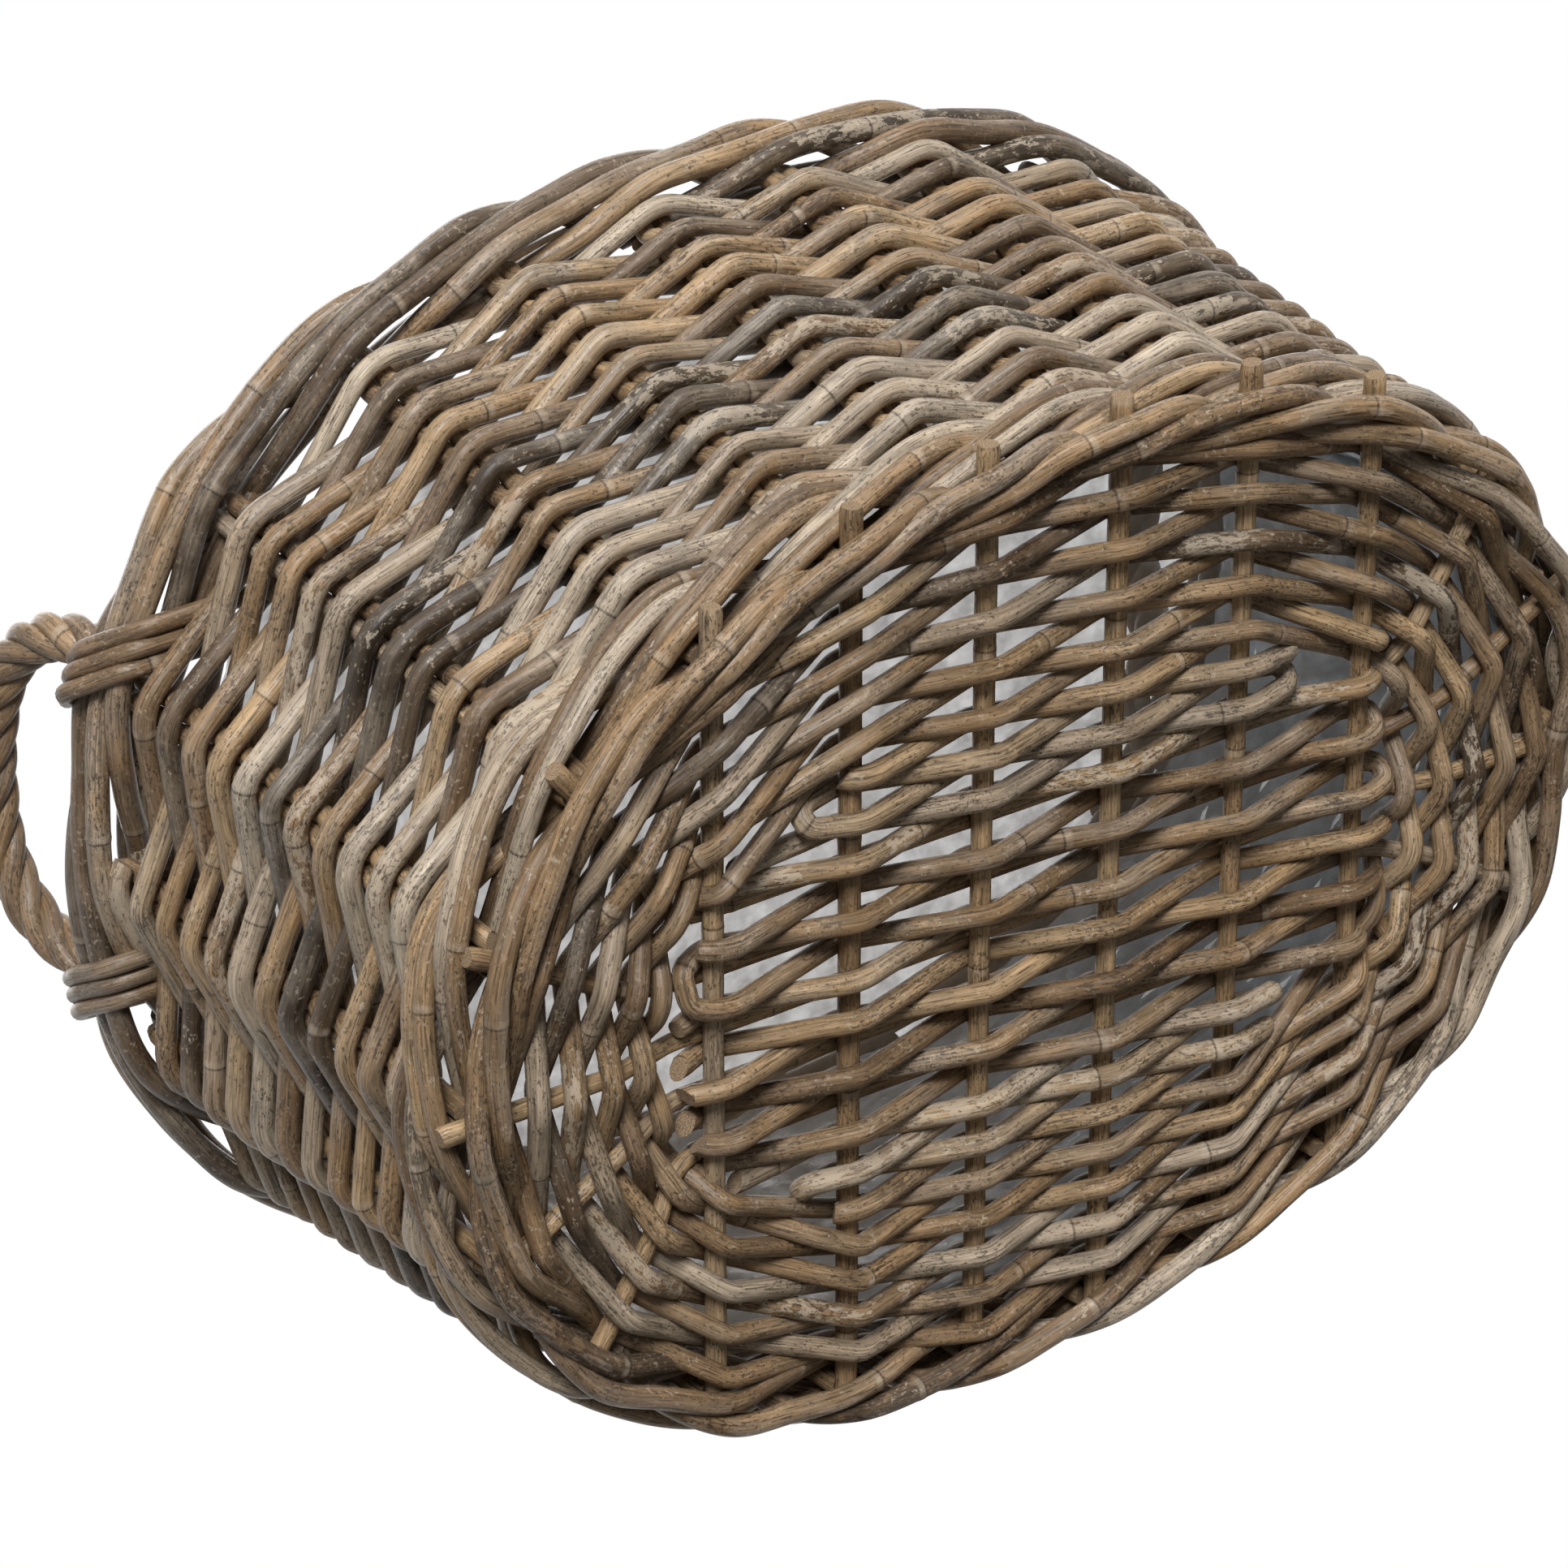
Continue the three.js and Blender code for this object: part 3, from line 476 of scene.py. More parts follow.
# %% Shader group: long fibres, as fine streaks, broad bands and single dark lines
STREAK_STRETCH = (1.0, 1.0, 0.035)
BAND_STRETCH, BAND_SCALE = (1.0, 1.0, 0.16), 230.0
LINE_STRETCH, LINE_SCALE = (1.0, 1.0, 0.04), 1300.0


def make_fibre_group():
    inputs = [("Place", VECTOR, None), ("Fineness", FLOAT, 1250.0)]
    outputs = [("Streaks", FLOAT), ("Broad", FLOAT), ("Lines", FLOAT)]
    tree, w, taken, given = new_tree("Long fibres", "ShaderNodeTree", inputs, outputs)
    streaks = w.stretched_noise(taken["Place"], STREAK_STRETCH, taken["Fineness"], 4.0, 0.66)
    broad = w.stretched_noise(taken["Place"], BAND_STRETCH, BAND_SCALE, 3.0, 0.55)
    lines = w.stretched_noise(taken["Place"], LINE_STRETCH, LINE_SCALE)
    w.feed(given["Streaks"], w.between(streaks, 0.36, 0.64))
    w.feed(given["Broad"], w.between(broad, 0.34, 0.66))
    w.feed(given["Lines"], w.between(lines, 0.57, 0.66))
    return tree


FIBRE_GROUP = make_fibre_group()
print("fibre group:", len(FIBRE_GROUP.nodes), "nodes")


# %% Shader group: patches where the bark has flaked off, more on some rods than on others
PATCH_STRETCH = (1.0, 1.0, 0.3)
BLOCK_STRETCH, BLOCK_SCALE, BLOCK_SHARE = (1.0, 1.0, 0.5), 800.0, 0.09
STRETCHES_OF_ROD = (0.3, 0.3, 1.0)
FLAKE_LOT = 0.7171


def make_flake_group():
    inputs = [("Place", VECTOR, None), ("Rod", FLOAT, 0.0), ("Amount", FLOAT, 0.4), ("Size", FLOAT, 380.0)]
    outputs = [("Bare", FLOAT), ("Rim", FLOAT)]
    tree, w, taken, given = new_tree("Flaked bark", "ShaderNodeTree", inputs, outputs)
    patches = w.stretched_noise(taken["Place"], PATCH_STRETCH, taken["Size"], 4.0, 0.6)
    cells = {"Vector": w.vector("MULTIPLY", taken["Place"], BLOCK_STRETCH), "Scale": BLOCK_SCALE}
    cells = w.node("ShaderNodeTexVoronoi", cells, distance="CHEBYCHEV")
    blocks = w.node("ShaderNodeSeparateColor", {0: cells.outputs["Color"]}).outputs[0]
    where = w.stretched_noise(taken["Place"], STRETCHES_OF_ROD, 16.0, 1.0)
    level = w.math("MULTIPLY_ADD", w.between(where, 0.4, 0.62), 0.2, patches)
    level = w.math("MULTIPLY_ADD", w.math("SUBTRACT", blocks, 0.5), BLOCK_SHARE, level)
    share = w.math("MULTIPLY_ADD", w.math("POWER", w.lot(taken["Rod"], FLAKE_LOT), 3.0), 0.85, 0.3)
    edge = w.math("SUBTRACT", 0.98, w.math("MULTIPLY", w.math("MULTIPLY", taken["Amount"], share), 0.5))
    over = w.math("SUBTRACT", level, edge)
    w.feed(given["Bare"], w.between(over, 0.0, 0.01))
    w.feed(given["Rim"], w.math("SUBTRACT", 1.0, w.between(w.math("ABSOLUTE", over), 0.0, 0.016)))
    return tree


FLAKE_GROUP = make_flake_group()
print("flake group:", len(FLAKE_GROUP.nodes), "nodes")


# %% Shader group: short cracks across the rod, pale flecks beside them, and worn pits
CRACK_STRETCH, CRACK_SCALE = (0.28, 0.28, 1.0), 1500.0
CRACKED_STRETCH, CRACKED_SCALE = (0.5, 0.5, 1.0), 55.0
FLECK_STRETCH, FLECK_SCALE = (0.7, 0.7, 0.5), 700.0
PIT_STRETCH, PIT_SCALE = (1.0, 1.0, 0.35), 1000.0


def make_crack_group():
    inputs = [("Place", VECTOR, None), ("Amount", FLOAT, 0.5)]
    outputs = [("Cracks", FLOAT), ("Flecks", FLOAT), ("Pits", FLOAT)]
    tree, w, taken, given = new_tree("Cracks across", "ShaderNodeTree", inputs, outputs)
    cracks = w.stretched_noise(taken["Place"], CRACK_STRETCH, CRACK_SCALE, 2.0, 0.6)
    where = w.stretched_noise(taken["Place"], CRACKED_STRETCH, CRACKED_SCALE)
    where = w.math("MULTIPLY", w.between(where, 0.5, 0.68), taken["Amount"])
    w.feed(given["Cracks"], w.math("MULTIPLY", w.between(cracks, 0.55, 0.7), where))
    flecks = w.stretched_noise(taken["Place"], FLECK_STRETCH, FLECK_SCALE, 3.0, 0.65)
    beside = w.between(where, 0.0, 0.3, 0.35, 1.0)
    w.feed(given["Flecks"], w.math("MULTIPLY", w.between(flecks, 0.58, 0.64), beside))
    pits = w.stretched_noise(taken["Place"], PIT_STRETCH, PIT_SCALE, 3.0, 0.75)
    worn = w.stretched_noise(taken["Place"], STRETCHES_OF_ROD, 30.0)
    pits = w.math("MULTIPLY_ADD", w.between(worn, 0.35, 0.7), 0.1, pits)
    w.feed(given["Pits"], w.between(pits, 0.63, 0.66))
    return tree


CRACK_GROUP = make_crack_group()
print("crack group:", len(CRACK_GROUP.nodes), "nodes")

# %% [markdown]
# ## The colour of a rod
#
# A rod's tone runs from nearly black, through brown and tan, to pale grey. On top of that
# the weather greys it in long stretches, fibres streak it, joints carry a pale ring, and
# flaked patches show either pale cane or dark, depending on the rod.

# %% Shader group: the line and the pale ring of a joint, and a tone for each length between
LINE_BEHIND, LINE_CORE, LINE_EDGE = 0.0009, 0.0002, 0.0008
RING_AHEAD, RING_CORE, RING_EDGE_OUT = 0.0012, 0.0008, 0.0024
LENGTH_LOT, ROD_LOT = 12.99, 4.137


def make_joint_group():
    inputs = [("Turns", FLOAT, 0.0), ("Spacing", FLOAT, 0.1), ("Rod", FLOAT, 0.0)]
    outputs = [("Line", FLOAT), ("Ring", FLOAT), ("Internode", FLOAT)]
    tree, w, taken, given = new_tree("Joints of a rod", "ShaderNodeTree", inputs, outputs)
    away = w.math("MULTIPLY", w.math("SUBTRACT", w.math("FRACT", taken["Turns"]), 0.5), taken["Spacing"])
    to_line = w.math("ABSOLUTE", w.math("ADD", away, LINE_BEHIND))
    w.feed(given["Line"], w.between(to_line, LINE_CORE, LINE_EDGE, 1.0, 0.0))
    to_ring = w.math("ABSOLUTE", w.math("SUBTRACT", away, RING_AHEAD))
    w.feed(given["Ring"], w.between(to_ring, RING_CORE, RING_EDGE_OUT, 1.0, 0.0))
    length = w.math("FLOOR", w.math("ADD", taken["Turns"], 0.5))
    phase = w.math("MULTIPLY_ADD", taken["Rod"], ROD_LOT, w.math("MULTIPLY", length, LENGTH_LOT))
    w.feed(given["Internode"], w.math("SINE", phase))
    return tree


JOINT_GROUP = make_joint_group()
print("joint group:", len(JOINT_GROUP.nodes), "nodes")


# %% The tones of the bark, from the darkest to the palest
TONES = [
    (0.0, (0.030, 0.020, 0.012, 1)),
    (0.2, (0.095, 0.059, 0.033, 1)),
    (0.42, (0.200, 0.124, 0.064, 1)),
    (0.6, (0.300, 0.192, 0.098, 1)),
    (0.72, (0.410, 0.278, 0.148, 1)),
    (0.84, (0.315, 0.240, 0.166, 1)),
    (1.0, (0.465, 0.382, 0.284, 1)),
]
GREY_WARM = (0.345, 0.264, 0.184, 1)
GREY_COOL = (0.285, 0.245, 0.200, 1)
PALE_CANE = (0.480, 0.400, 0.305, 1)
DARK_CANE = (0.026, 0.018, 0.012, 1)
CUT_CANE = (0.330, 0.230, 0.140, 1)


def tone_ramp(w, tone):
    ramp = w.node("ShaderNodeValToRGB", {"Fac": tone})
    band = ramp.color_ramp
    band.elements[0].position, band.elements[0].color = TONES[0]
    band.elements[1].position, band.elements[1].color = TONES[-1]
    for position, colour in TONES[1:-1]:
        band.elements.new(position).color = colour
    return ramp.outputs["Color"]


print("tones:", len(TONES), "from brown-black to grey")

# %% The bark before it is marked: its tone drifts along the rod, and the weather greys it
DRIFT_STRETCH, DRIFT_SHARE = (0.5, 0.5, 1.0), 0.4
DAMP_STRETCH = (2.2, 2.2, 1.0)
INTERNODE_SHARE = 0.07
AGE_LOT, COOL_LOT = 0.8393, 0.5311
GREYED_MOST = 0.9


def bark_colour(w, taken):
    drift = w.stretched_noise(taken["Place"], DRIFT_STRETCH, 7.0)
    tone = w.math("MULTIPLY_ADD", w.math("SUBTRACT", drift, 0.5), DRIFT_SHARE, taken["Tone"])
    tone = w.math("MULTIPLY_ADD", taken["Internode"], INTERNODE_SHARE, tone)
    damp = w.stretched_noise(taken["Place"], DAMP_STRETCH, 26.0, 3.0, 0.6)
    age = w.between(w.lot(taken["Rod"], AGE_LOT), 0.1, 0.9, 0.25, 1.35)
    greyed = w.math("MULTIPLY", w.between(damp, 0.38, 0.62), w.math("MULTIPLY", taken["Weathering"], age))
    grey = w.mix(w.lot(taken["Rod"], COOL_LOT), GREY_WARM, GREY_COOL)
    colour = w.mix(w.math("MINIMUM", greyed, GREYED_MOST), tone_ramp(w, tone), grey)
    streak_light = w.between(taken["Streaks"], 0.0, 1.0, 0.62, 1.28)
    broad_light = w.between(taken["Broad"], 0.0, 1.0, 0.76, 1.16)
    light = w.math("MULTIPLY", streak_light, broad_light)
    return w.vector("MULTIPLY", colour, w.combine(light, light, light))


print("the bark is greyed by", GREYED_MOST, "at most")

# %% What lies under flaked bark: pale cane on some rods, dark cane on the others
UNDER_LOT, PALE_UNDER = 0.29, 0.45


def under_bark(w, taken, colour):
    under_dark = w.math("GREATER_THAN", w.lot(taken["Rod"], UNDER_LOT), PALE_UNDER)
    under = w.mix(under_dark, PALE_CANE, DARK_CANE)
    return w.mix(w.math("MULTIPLY", taken["Streaks"], 0.5), under, colour)


print("share of rods with pale cane under their bark:", PALE_UNDER)

# %% Shader group: the colour of a rod, with each mark laid over the one before
MARK_INPUTS = ["Lines", "Bare", "Rim", "Cracks", "Flecks", "Pits", "Line", "Ring", "Internode", "Cut"]
MARK_CANES = [
    ("Rim", 0.3, DARK_CANE),
    ("Flecks", 0.5, PALE_CANE),
    ("Pits", 0.7, DARK_CANE),
    ("Cracks", 0.6, DARK_CANE),
]
PORE_SCALE = 2600.0
CUT_SHARE = 0.85


def make_colour_group():
    inputs = [("Place", VECTOR, None), ("Tone", FLOAT, 0.5), ("Rod", FLOAT, 0.0)]
    inputs += [(label, FLOAT, 0.5) for label in ("Weathering", "Streaks", "Broad")]
    inputs += [(label, FLOAT, 0.0) for label in MARK_INPUTS]
    tree, w, taken, given = new_tree("Colour of a rod", "ShaderNodeTree", inputs, [("Colour", COLOUR)])
    colour = bark_colour(w, taken)
    colour = w.mix(w.math("MULTIPLY", taken["Lines"], 0.6), colour, DARK_CANE)
    colour = w.mix(w.math("MULTIPLY", taken["Bare"], 0.75), colour, under_bark(w, taken, colour))
    for mark, share, cane in MARK_CANES:
        colour = w.mix(w.math("MULTIPLY", taken[mark], share), colour, cane)
    ring = w.math("MULTIPLY", taken["Ring"], w.between(taken["Broad"], 0.2, 0.8, 0.2, 1.0))
    colour = w.mix(w.math("MULTIPLY", ring, 0.4), colour, PALE_CANE)
    line = w.math("MULTIPLY", taken["Line"], w.between(taken["Streaks"], 0.0, 1.0, 0.85, 0.4))
    colour = w.mix(line, colour, DARK_CANE)
    pores = w.noise(taken["Place"], PORE_SCALE, 1.0).outputs["Fac"]
    end_grain = w.mix(w.between(pores, 0.5, 0.62), CUT_CANE, DARK_CANE)
    w.feed(given["Colour"], w.mix(w.math("MULTIPLY", taken["Cut"], CUT_SHARE), colour, end_grain))
    return tree


COLOUR_GROUP = make_colour_group()
print("bark groups:", [group.name for group in bpy.data.node_groups if group.type == "SHADER"])

# %% [markdown]
# ## The rattan materials
#
# The same groups make every rattan on the basket, with other values. The wall has been
# greyed by the sun, the base is browner and more cracked, and the stakes, which the wall
# shades, are still golden, with tones set paler as painted light against the shade they
# stand in. One material for all would be simpler, but the basket would look as if it had
# been dipped.


# %% The marks on a rod, from the shared groups
def read(w, label, output="Fac"):
    """The value of one of the attributes that the rod tree stored."""
    return w.node("ShaderNodeAttribute", attribute_name=label).outputs[output]


def group(w, tree, **inputs):
    return w.node("ShaderNodeGroup", inputs, node_tree=tree).outputs


def rod_marks(w, flaked, cracked):
    """The place on the rod and every mark there, by name."""
    rod = read(w, "rod")
    across, along = read(w, "across", "Vector"), read(w, "along")
    place = group(w, PLACE_GROUP, Across=across, Along=along, Rod=rod)["Place"]
    joints = group(w, JOINT_GROUP, Turns=read(w, "turns"), Spacing=read(w, "spacing"), Rod=rod)
    sources = [
        (group(w, FIBRE_GROUP, Place=place), ("Streaks", "Broad", "Lines")),
        (group(w, FLAKE_GROUP, Place=place, Rod=rod, Amount=flaked), ("Bare", "Rim")),
        (group(w, CRACK_GROUP, Place=place, Amount=cracked), ("Cracks", "Flecks", "Pits")),
        (joints, ("Line", "Ring", "Internode")),
    ]
    marks = {label: outputs[label] for outputs, labels in sources for label in labels}
    return {"Place": place, "Rod": rod, "Cut": read(w, "cut"), **marks}


# %% A rattan material
STREAK_HEIGHT = 0.35
MARK_DEPTHS = [("Bare", 0.6), ("Cracks", 0.5), ("Lines", 0.5), ("Pits", 0.5), ("Line", 0.6)]
BUMP_STRENGTH = 0.7
BARE_ROUGHER, BROAD_ROUGHER, CUT_ROUGHNESS = 0.25, 0.12, 0.85
RATTAN_SPECULAR = 0.4


def rattan(name, weathering, flaked, cracked, roughness, relief):
    material, w = new_material(name)
    marks = rod_marks(w, flaked, cracked)
    colour = group(w, COLOUR_GROUP, Tone=read(w, "tone"), Weathering=weathering, **marks)["Colour"]
    height = w.math("MULTIPLY", marks["Streaks"], STREAK_HEIGHT)
    for mark, depth in MARK_DEPTHS:
        height = w.math("MULTIPLY_ADD", marks[mark], -depth, height)
    raised_by = {"Height": height, "Strength": BUMP_STRENGTH, "Distance": relief}
    bump = w.node("ShaderNodeBump", raised_by).outputs[0]
    rough = w.math("MULTIPLY_ADD", marks["Bare"], BARE_ROUGHER, roughness)
    rough = w.math("MULTIPLY_ADD", marks["Broad"], BROAD_ROUGHER, rough)
    rough = w.math("MAXIMUM", rough, w.math("MULTIPLY", marks["Cut"], CUT_ROUGHNESS))
    looks = {"Base Color": colour, "Roughness": rough, "Normal": bump}
    shader = w.node("ShaderNodeBsdfPrincipled", {**looks, "Specular IOR Level": RATTAN_SPECULAR})
    w.node("ShaderNodeOutputMaterial", {"Surface": shader.outputs[0]})
    return material


STAKE_BARK = rattan("rattan_stakes", 0.1, flaked=0.2, cracked=0.2, roughness=0.46, relief=0.00014)
BASE_BARK = rattan("rattan_base", 0.42, flaked=0.7, cracked=1.0, roughness=0.4, relief=0.00018)
FOOT_BARK = rattan("rattan_foot", 0.4, flaked=0.68, cracked=0.9, roughness=0.38, relief=0.00018)
WALL_BARK = rattan("rattan_wall", 0.6, flaked=0.72, cracked=0.6, roughness=0.34, relief=0.00016)
BORDER_BARK = rattan("rattan_border", 0.5, flaked=0.66, cracked=0.6, roughness=0.34, relief=0.00016)
HANDLE_BARK = rattan("rattan_handle", 0.45, flaked=0.4, cracked=0.6, roughness=0.36, relief=0.00016)
print("materials:", [material.name for material in bpy.data.materials])

# %% [markdown]
# ## Where the stakes stand
#
# Everything is woven round the stakes, so their places are read from the frame: the middle
# of each pair at its foot and at its top, and the level direction that faces outwards
# there. A point on the wall is then a station, a height and a reach outwards. The real
# basket has been pushed out of true near its foot, a little out on one side and in on the
# other, and so is this one.

# %% Stations, read from the frame
ENDS_SLACK = 0.005
FOOT_PUSHED = 0.008
PUSH_POWER = 1.5
WALL_INSET = 0.0012


def corner_points(node):
    return [vertex.co.copy() for vertex in NODES[node].data.vertices]


def raised(point, height):
    return Vector((point.x, point.y, height))


def middle_of(points):
    low = Vector([min(p[axis] for p in points) for axis in range(3)])
    high = Vector([max(p[axis] for p in points) for axis in range(3)])
    return (low + high) / 2


class Station:
    """A place round the oval where a pair of stakes stands."""

    def __init__(self, node):
        points = corner_points(node)
        low = min(p.z for p in points)
        high = max(p.z for p in points)
        foot_points = [p for p in points if p.z < low + ENDS_SLACK]
        self.node = node
        self.foot = middle_of(foot_points)
        self.top = middle_of([p for p in points if p.z > high - ENDS_SLACK])
        side = max(foot_points, key=lambda p: (p - self.foot).xy.length) - self.foot
        self.tangent = Vector((side.x, side.y, 0)).normalized()
        self.outward = Vector((self.tangent.y, -self.tangent.x, 0))
        if self.outward.dot(self.foot) < 0:
            self.outward = -self.outward
        self.tangent = Vector((-self.outward.y, self.outward.x, 0))
        turn = math.atan2(self.foot.y, self.foot.x)
        self.pushed = -FOOT_PUSHED * math.sin(turn) * ((1 + math.cos(turn)) / 2) ** PUSH_POWER

    def at(self, height, outward=0.0, sideways=0.0):
        share = (height - self.foot.z) / (self.top.z - self.foot.z)
        outward += self.pushed * (1 - share) - WALL_INSET
        return self.foot.lerp(self.top, share) + self.outward * outward + self.tangent * sideways


STATIONS = [Station(name) for name in sorted(n for n in NODES if n.startswith("stake_pair_"))]
COUNT = len(STATIONS)


def station(step):
    return STATIONS[step % COUNT]


print("stations:", COUNT, "first at", tuple(round(v, 4) for v in STATIONS[0].foot))

# %% Stations of the long sides, where a cross stick ends
SAME_PLACE = 0.002
FACES_SIDEWAYS = 0.5
CROSS_PLACES = sorted(middle_of(corner_points(n)).x for n in NODES if n.startswith("base_cross_stick_"))


def is_side(place):
    to_stick = min(abs(place.foot.x - x) for x in CROSS_PLACES)
    return abs(place.outward.y) > FACES_SIDEWAYS and to_stick < SAME_PLACE


print("stations on the long sides:", sum(map(is_side, STATIONS)))

# %% [markdown]
# ## How far a rod bends round a pair of stakes
#
# A rod passes outside one pair of stakes and inside the next. It has to clear two rods
# side by side although it leaves them at a slant, so the bend at the stakes reaches out a
# little further than the two thicknesses alone. The slant depends on the reach and the
# reach on the slant, so a few rounds of the same sum settle both.

# %% The reach of a bend
STAKE_ROD = 0.0092
PAIR_OFFSET = 0.0045
SETTLING_ROUNDS = 12


def reach_round(rod, spacing, turn_in=0.0, crossed=STAKE_ROD, offset=PAIR_OFFSET):
    clear = (crossed + rod) / 2
    reach = clear
    for _ in range(SETTLING_ROUNDS):
        slope = (2 * reach + turn_in) / spacing
        reach = clear * math.hypot(1, slope) + slope * offset
    return reach


def wall_reach(step, height, rod, outside):
    here = station(step).at(height)
    spacing, turn_in = math.inf, 0.0
    for neighbour in (station(step - 1), station(step + 1)):
        way = here - neighbour.at(height)
        spacing = min(spacing, way.length)
        turn_in = max(turn_in, way.dot(station(step).outward))
    return reach_round(rod, spacing, turn_in if outside else 0.0)


print("reach at the first station:", round(wall_reach(0, 0.1, 0.0084, True) * 1000, 2), "mm")

# %% [markdown]
# ## Choosing tones
#
# A weaver takes rods from one bundle, so the tones are mixed at random and only their
# shares differ from place to place. Each share has a lowest and a highest tone, on the
# scale of the bark's colours. The dice are seeded, so each run picks the same.

# %% Tones for each part of the basket
dice = random.Random(2652)
WALL_TONES = [(0.14, 0.04, 0.2), (0.32, 0.24, 0.48), (0.26, 0.5, 0.74), (0.28, 0.82, 1.05)]
BASE_TONES = [(0.05, 0.18, 0.3), (0.55, 0.42, 0.58), (0.2, 0.54, 0.66), (0.2, 0.84, 1.0)]
# The stake tones are paler than the bark alone would be: this is painted light that lifts the shade the
# stakes stand in between the wall rods. The base sticks take these tones too.
STAKE_TONES_PAINTED_LIGHT = [(0.2, 0.4, 0.5), (0.8, 0.52, 0.74)]
# The stick tones are dark partly as painted shade. They were darkened to stand for the shade the base
# sticks lie in. The rods inside the rim take them.
STICK_TONES_PAINTED_SHADE = [(0.5, 0.12, 0.26), (0.4, 0.26, 0.4), (0.1, 0.48, 0.6)]
FOOT_TONES = [(0.08, 0.14, 0.28), (0.45, 0.36, 0.56), (0.22, 0.54, 0.7), (0.25, 0.84, 1.02)]
HANDLE_TONES = [(1.0, 0.3, 0.52)]


def pick_tone(shares):
    roll = dice.random() * sum(share for share, _, _ in shares)
    for share, low, high in shares:
        roll -= share
        if roll <= 0:
            break
    return dice.uniform(low, high)


print("tones on the wall, with their shares:", WALL_TONES)

# %% [markdown]
# ## The wall
#
# Two sets of rods chase each other up the wall. One passes outside the even stations, the
# other outside the odd ones. A rod lasts for a quarter of a turn or more, and its ends hide
# inside, leaning on a stake. The next rod starts there, a little further in.
#
# The rods could be bent round the stakes by a simulation. But a weave settles into a plain
# rule, outside one station and inside the next, so the points are worked out by that rule
# with a little chance in each. The rod tree then bends each corner as stiff cane bends.

# %% The rows of the wall
WALL_ROD = 0.0101
WALL_ROWS = 22
STAKE_WAVE = 0.0018
ROW_FROM_EDGE = 0.004
WALL_TO_BORDER = 0.0110
ROW_JITTER = 0.0009
REACH_JITTER = 0.0005

FIRST_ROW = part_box("wall_weaver_a1")[0].z + ROW_FROM_EDGE
LAST_ROW = max(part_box(f"wall_weaver_{letter}4")[1].z for letter in "ab") - ROW_FROM_EDGE + WALL_TO_BORDER
WALL_STEPS = COUNT * WALL_ROWS // 2


def row_height(steps):
    """The height of a spiral of rods, after a number of steps from one station to the next."""
    return FIRST_ROW + (LAST_ROW - FIRST_ROW) * steps / WALL_STEPS


def wall_point(spiral, start, step):
    height = row_height(step - start)
    outside = (step + spiral) % 2 == 0
    reach = wall_reach(step, height, WALL_ROD, outside) - STAKE_WAVE / 3
    reach = (reach if outside else -reach) + dice.uniform(-REACH_JITTER, REACH_JITTER)
    return station(step).at(height + dice.uniform(-ROW_JITTER, ROW_JITTER), reach)


print("rows from", round(FIRST_ROW * 1000, 1), "to", round(LAST_ROW * 1000, 1), "mm")

# %% Wall rods
WALL_BEND = 0.020
WALL_SHORTEST, WALL_LONGEST = 3, 8
END_PAST = 0.16
END_INWARD = 0.0035
THINNEST, THICKEST = 0.86, 1.1
TAPER = 0.03
QUARTERS = 4


def split_lengths(first, last, shortest, longest):
    """Cuts a run of steps into rods of random lengths, as a list of (from, to)."""
    runs, start = [], first
    while start < last:
        length = dice.randint(shortest, longest)
        end = start + length if last - (start + length) >= shortest else last
        runs.append((start, end))
        start = end
    return runs


def wall_rods(spiral, first, last):
    rods = Rods()
    start = spiral * COUNT // 2
    route = {step: wall_point(spiral, start, step) for step in range(first - 1, last + 2)}
    inside = [step for step in range(first, last + 1) if (step + spiral) % 2 == 1]
    runs = split_lengths(0, len(inside) - 1, WALL_SHORTEST, WALL_LONGEST)
    marks = [first, *[inside[a] for a, _ in runs[1:]], last]
    for run_from, run_to in zip(marks, marks[1:]):
        points = [route[step].copy() for step in range(run_from, run_to + 1)]
        inward = station(run_from).outward * END_INWARD
        before = points[0].lerp(route[run_from - 1], END_PAST) - inward
        after = points[-1].lerp(route[run_to + 1], END_PAST)
        if (run_from + spiral) % 2 == 1:
            points[0] -= inward
        bends = [WALL_BEND * dice.uniform(0.7, 1.3) for _ in range(len(points) + 2)]
        thick = dice.uniform(THINNEST, THICKEST)
        girths = [thick + TAPER * math.sin(i * 0.7 + thick * 40) for i in range(len(points) + 2)]
        rods.add([before, *points, after], pick_tone(WALL_TONES), girths, bends=bends)
    return rods


def make_wall():
    for spiral, letter in enumerate("ab"):
        start = spiral * COUNT // 2
        cuts = [start + math.floor(WALL_STEPS * i / QUARTERS + 0.5) for i in range(QUARTERS + 1)]
        for i in range(QUARTERS):
            rods = wall_rods(spiral, cuts[i], cuts[i + 1])
            make_piece(f"wall_weaver_{letter}{i + 1}", rods, "rattan_wall", WALL_BARK, Thickness=WALL_ROD)


make_wall()
print("wall rods so far:", Rods.made)

# %% [markdown]
# ## The stakes
#
# Each upright is two rods side by side, standing on the end of a base stick. The wall rods
# push them to and fro, so they bulge outwards between the rods that pass outside. Only
# short golden bits show there, like beads, golden because the sun hasn't reached them and
# pale partly as painted light, as their tones are set lighter against the shade there.
#
# Straight tubes would be hidden better, but those beads would be missing. So a stake sweeps
# through one point for each row, taken from the wall's own heights.

# %% Stakes
STAKE_TOP = 0.270
PAIR_GAP = 0.0004
STAKE_FOOT_JITTER, STAKE_TOP_JITTER = 0.003, 0.004
STAKE_SIZES = {
    "Thickness": STAKE_ROD, "Sweeping": True, "Wander": 0.0002, "Joint Rise": 0.07, "Joint Spacing": 0.11,
}


def bulge_points(index, offset):
    """A stake's points: pressed in where a wall rod passes outside, and bulging between two."""
    place, points = STATIONS[index], []
    spiral = index % 2
    step = (index - spiral * COUNT // 2) % COUNT
    halves = 0
    while True:
        height = row_height(step + halves * COUNT / 2)
        if height > LAST_ROW + WALL_ROD / 2:
            return points
        points.append(place.at(height, STAKE_WAVE if halves % 2 else -STAKE_WAVE, offset))
        halves += 1


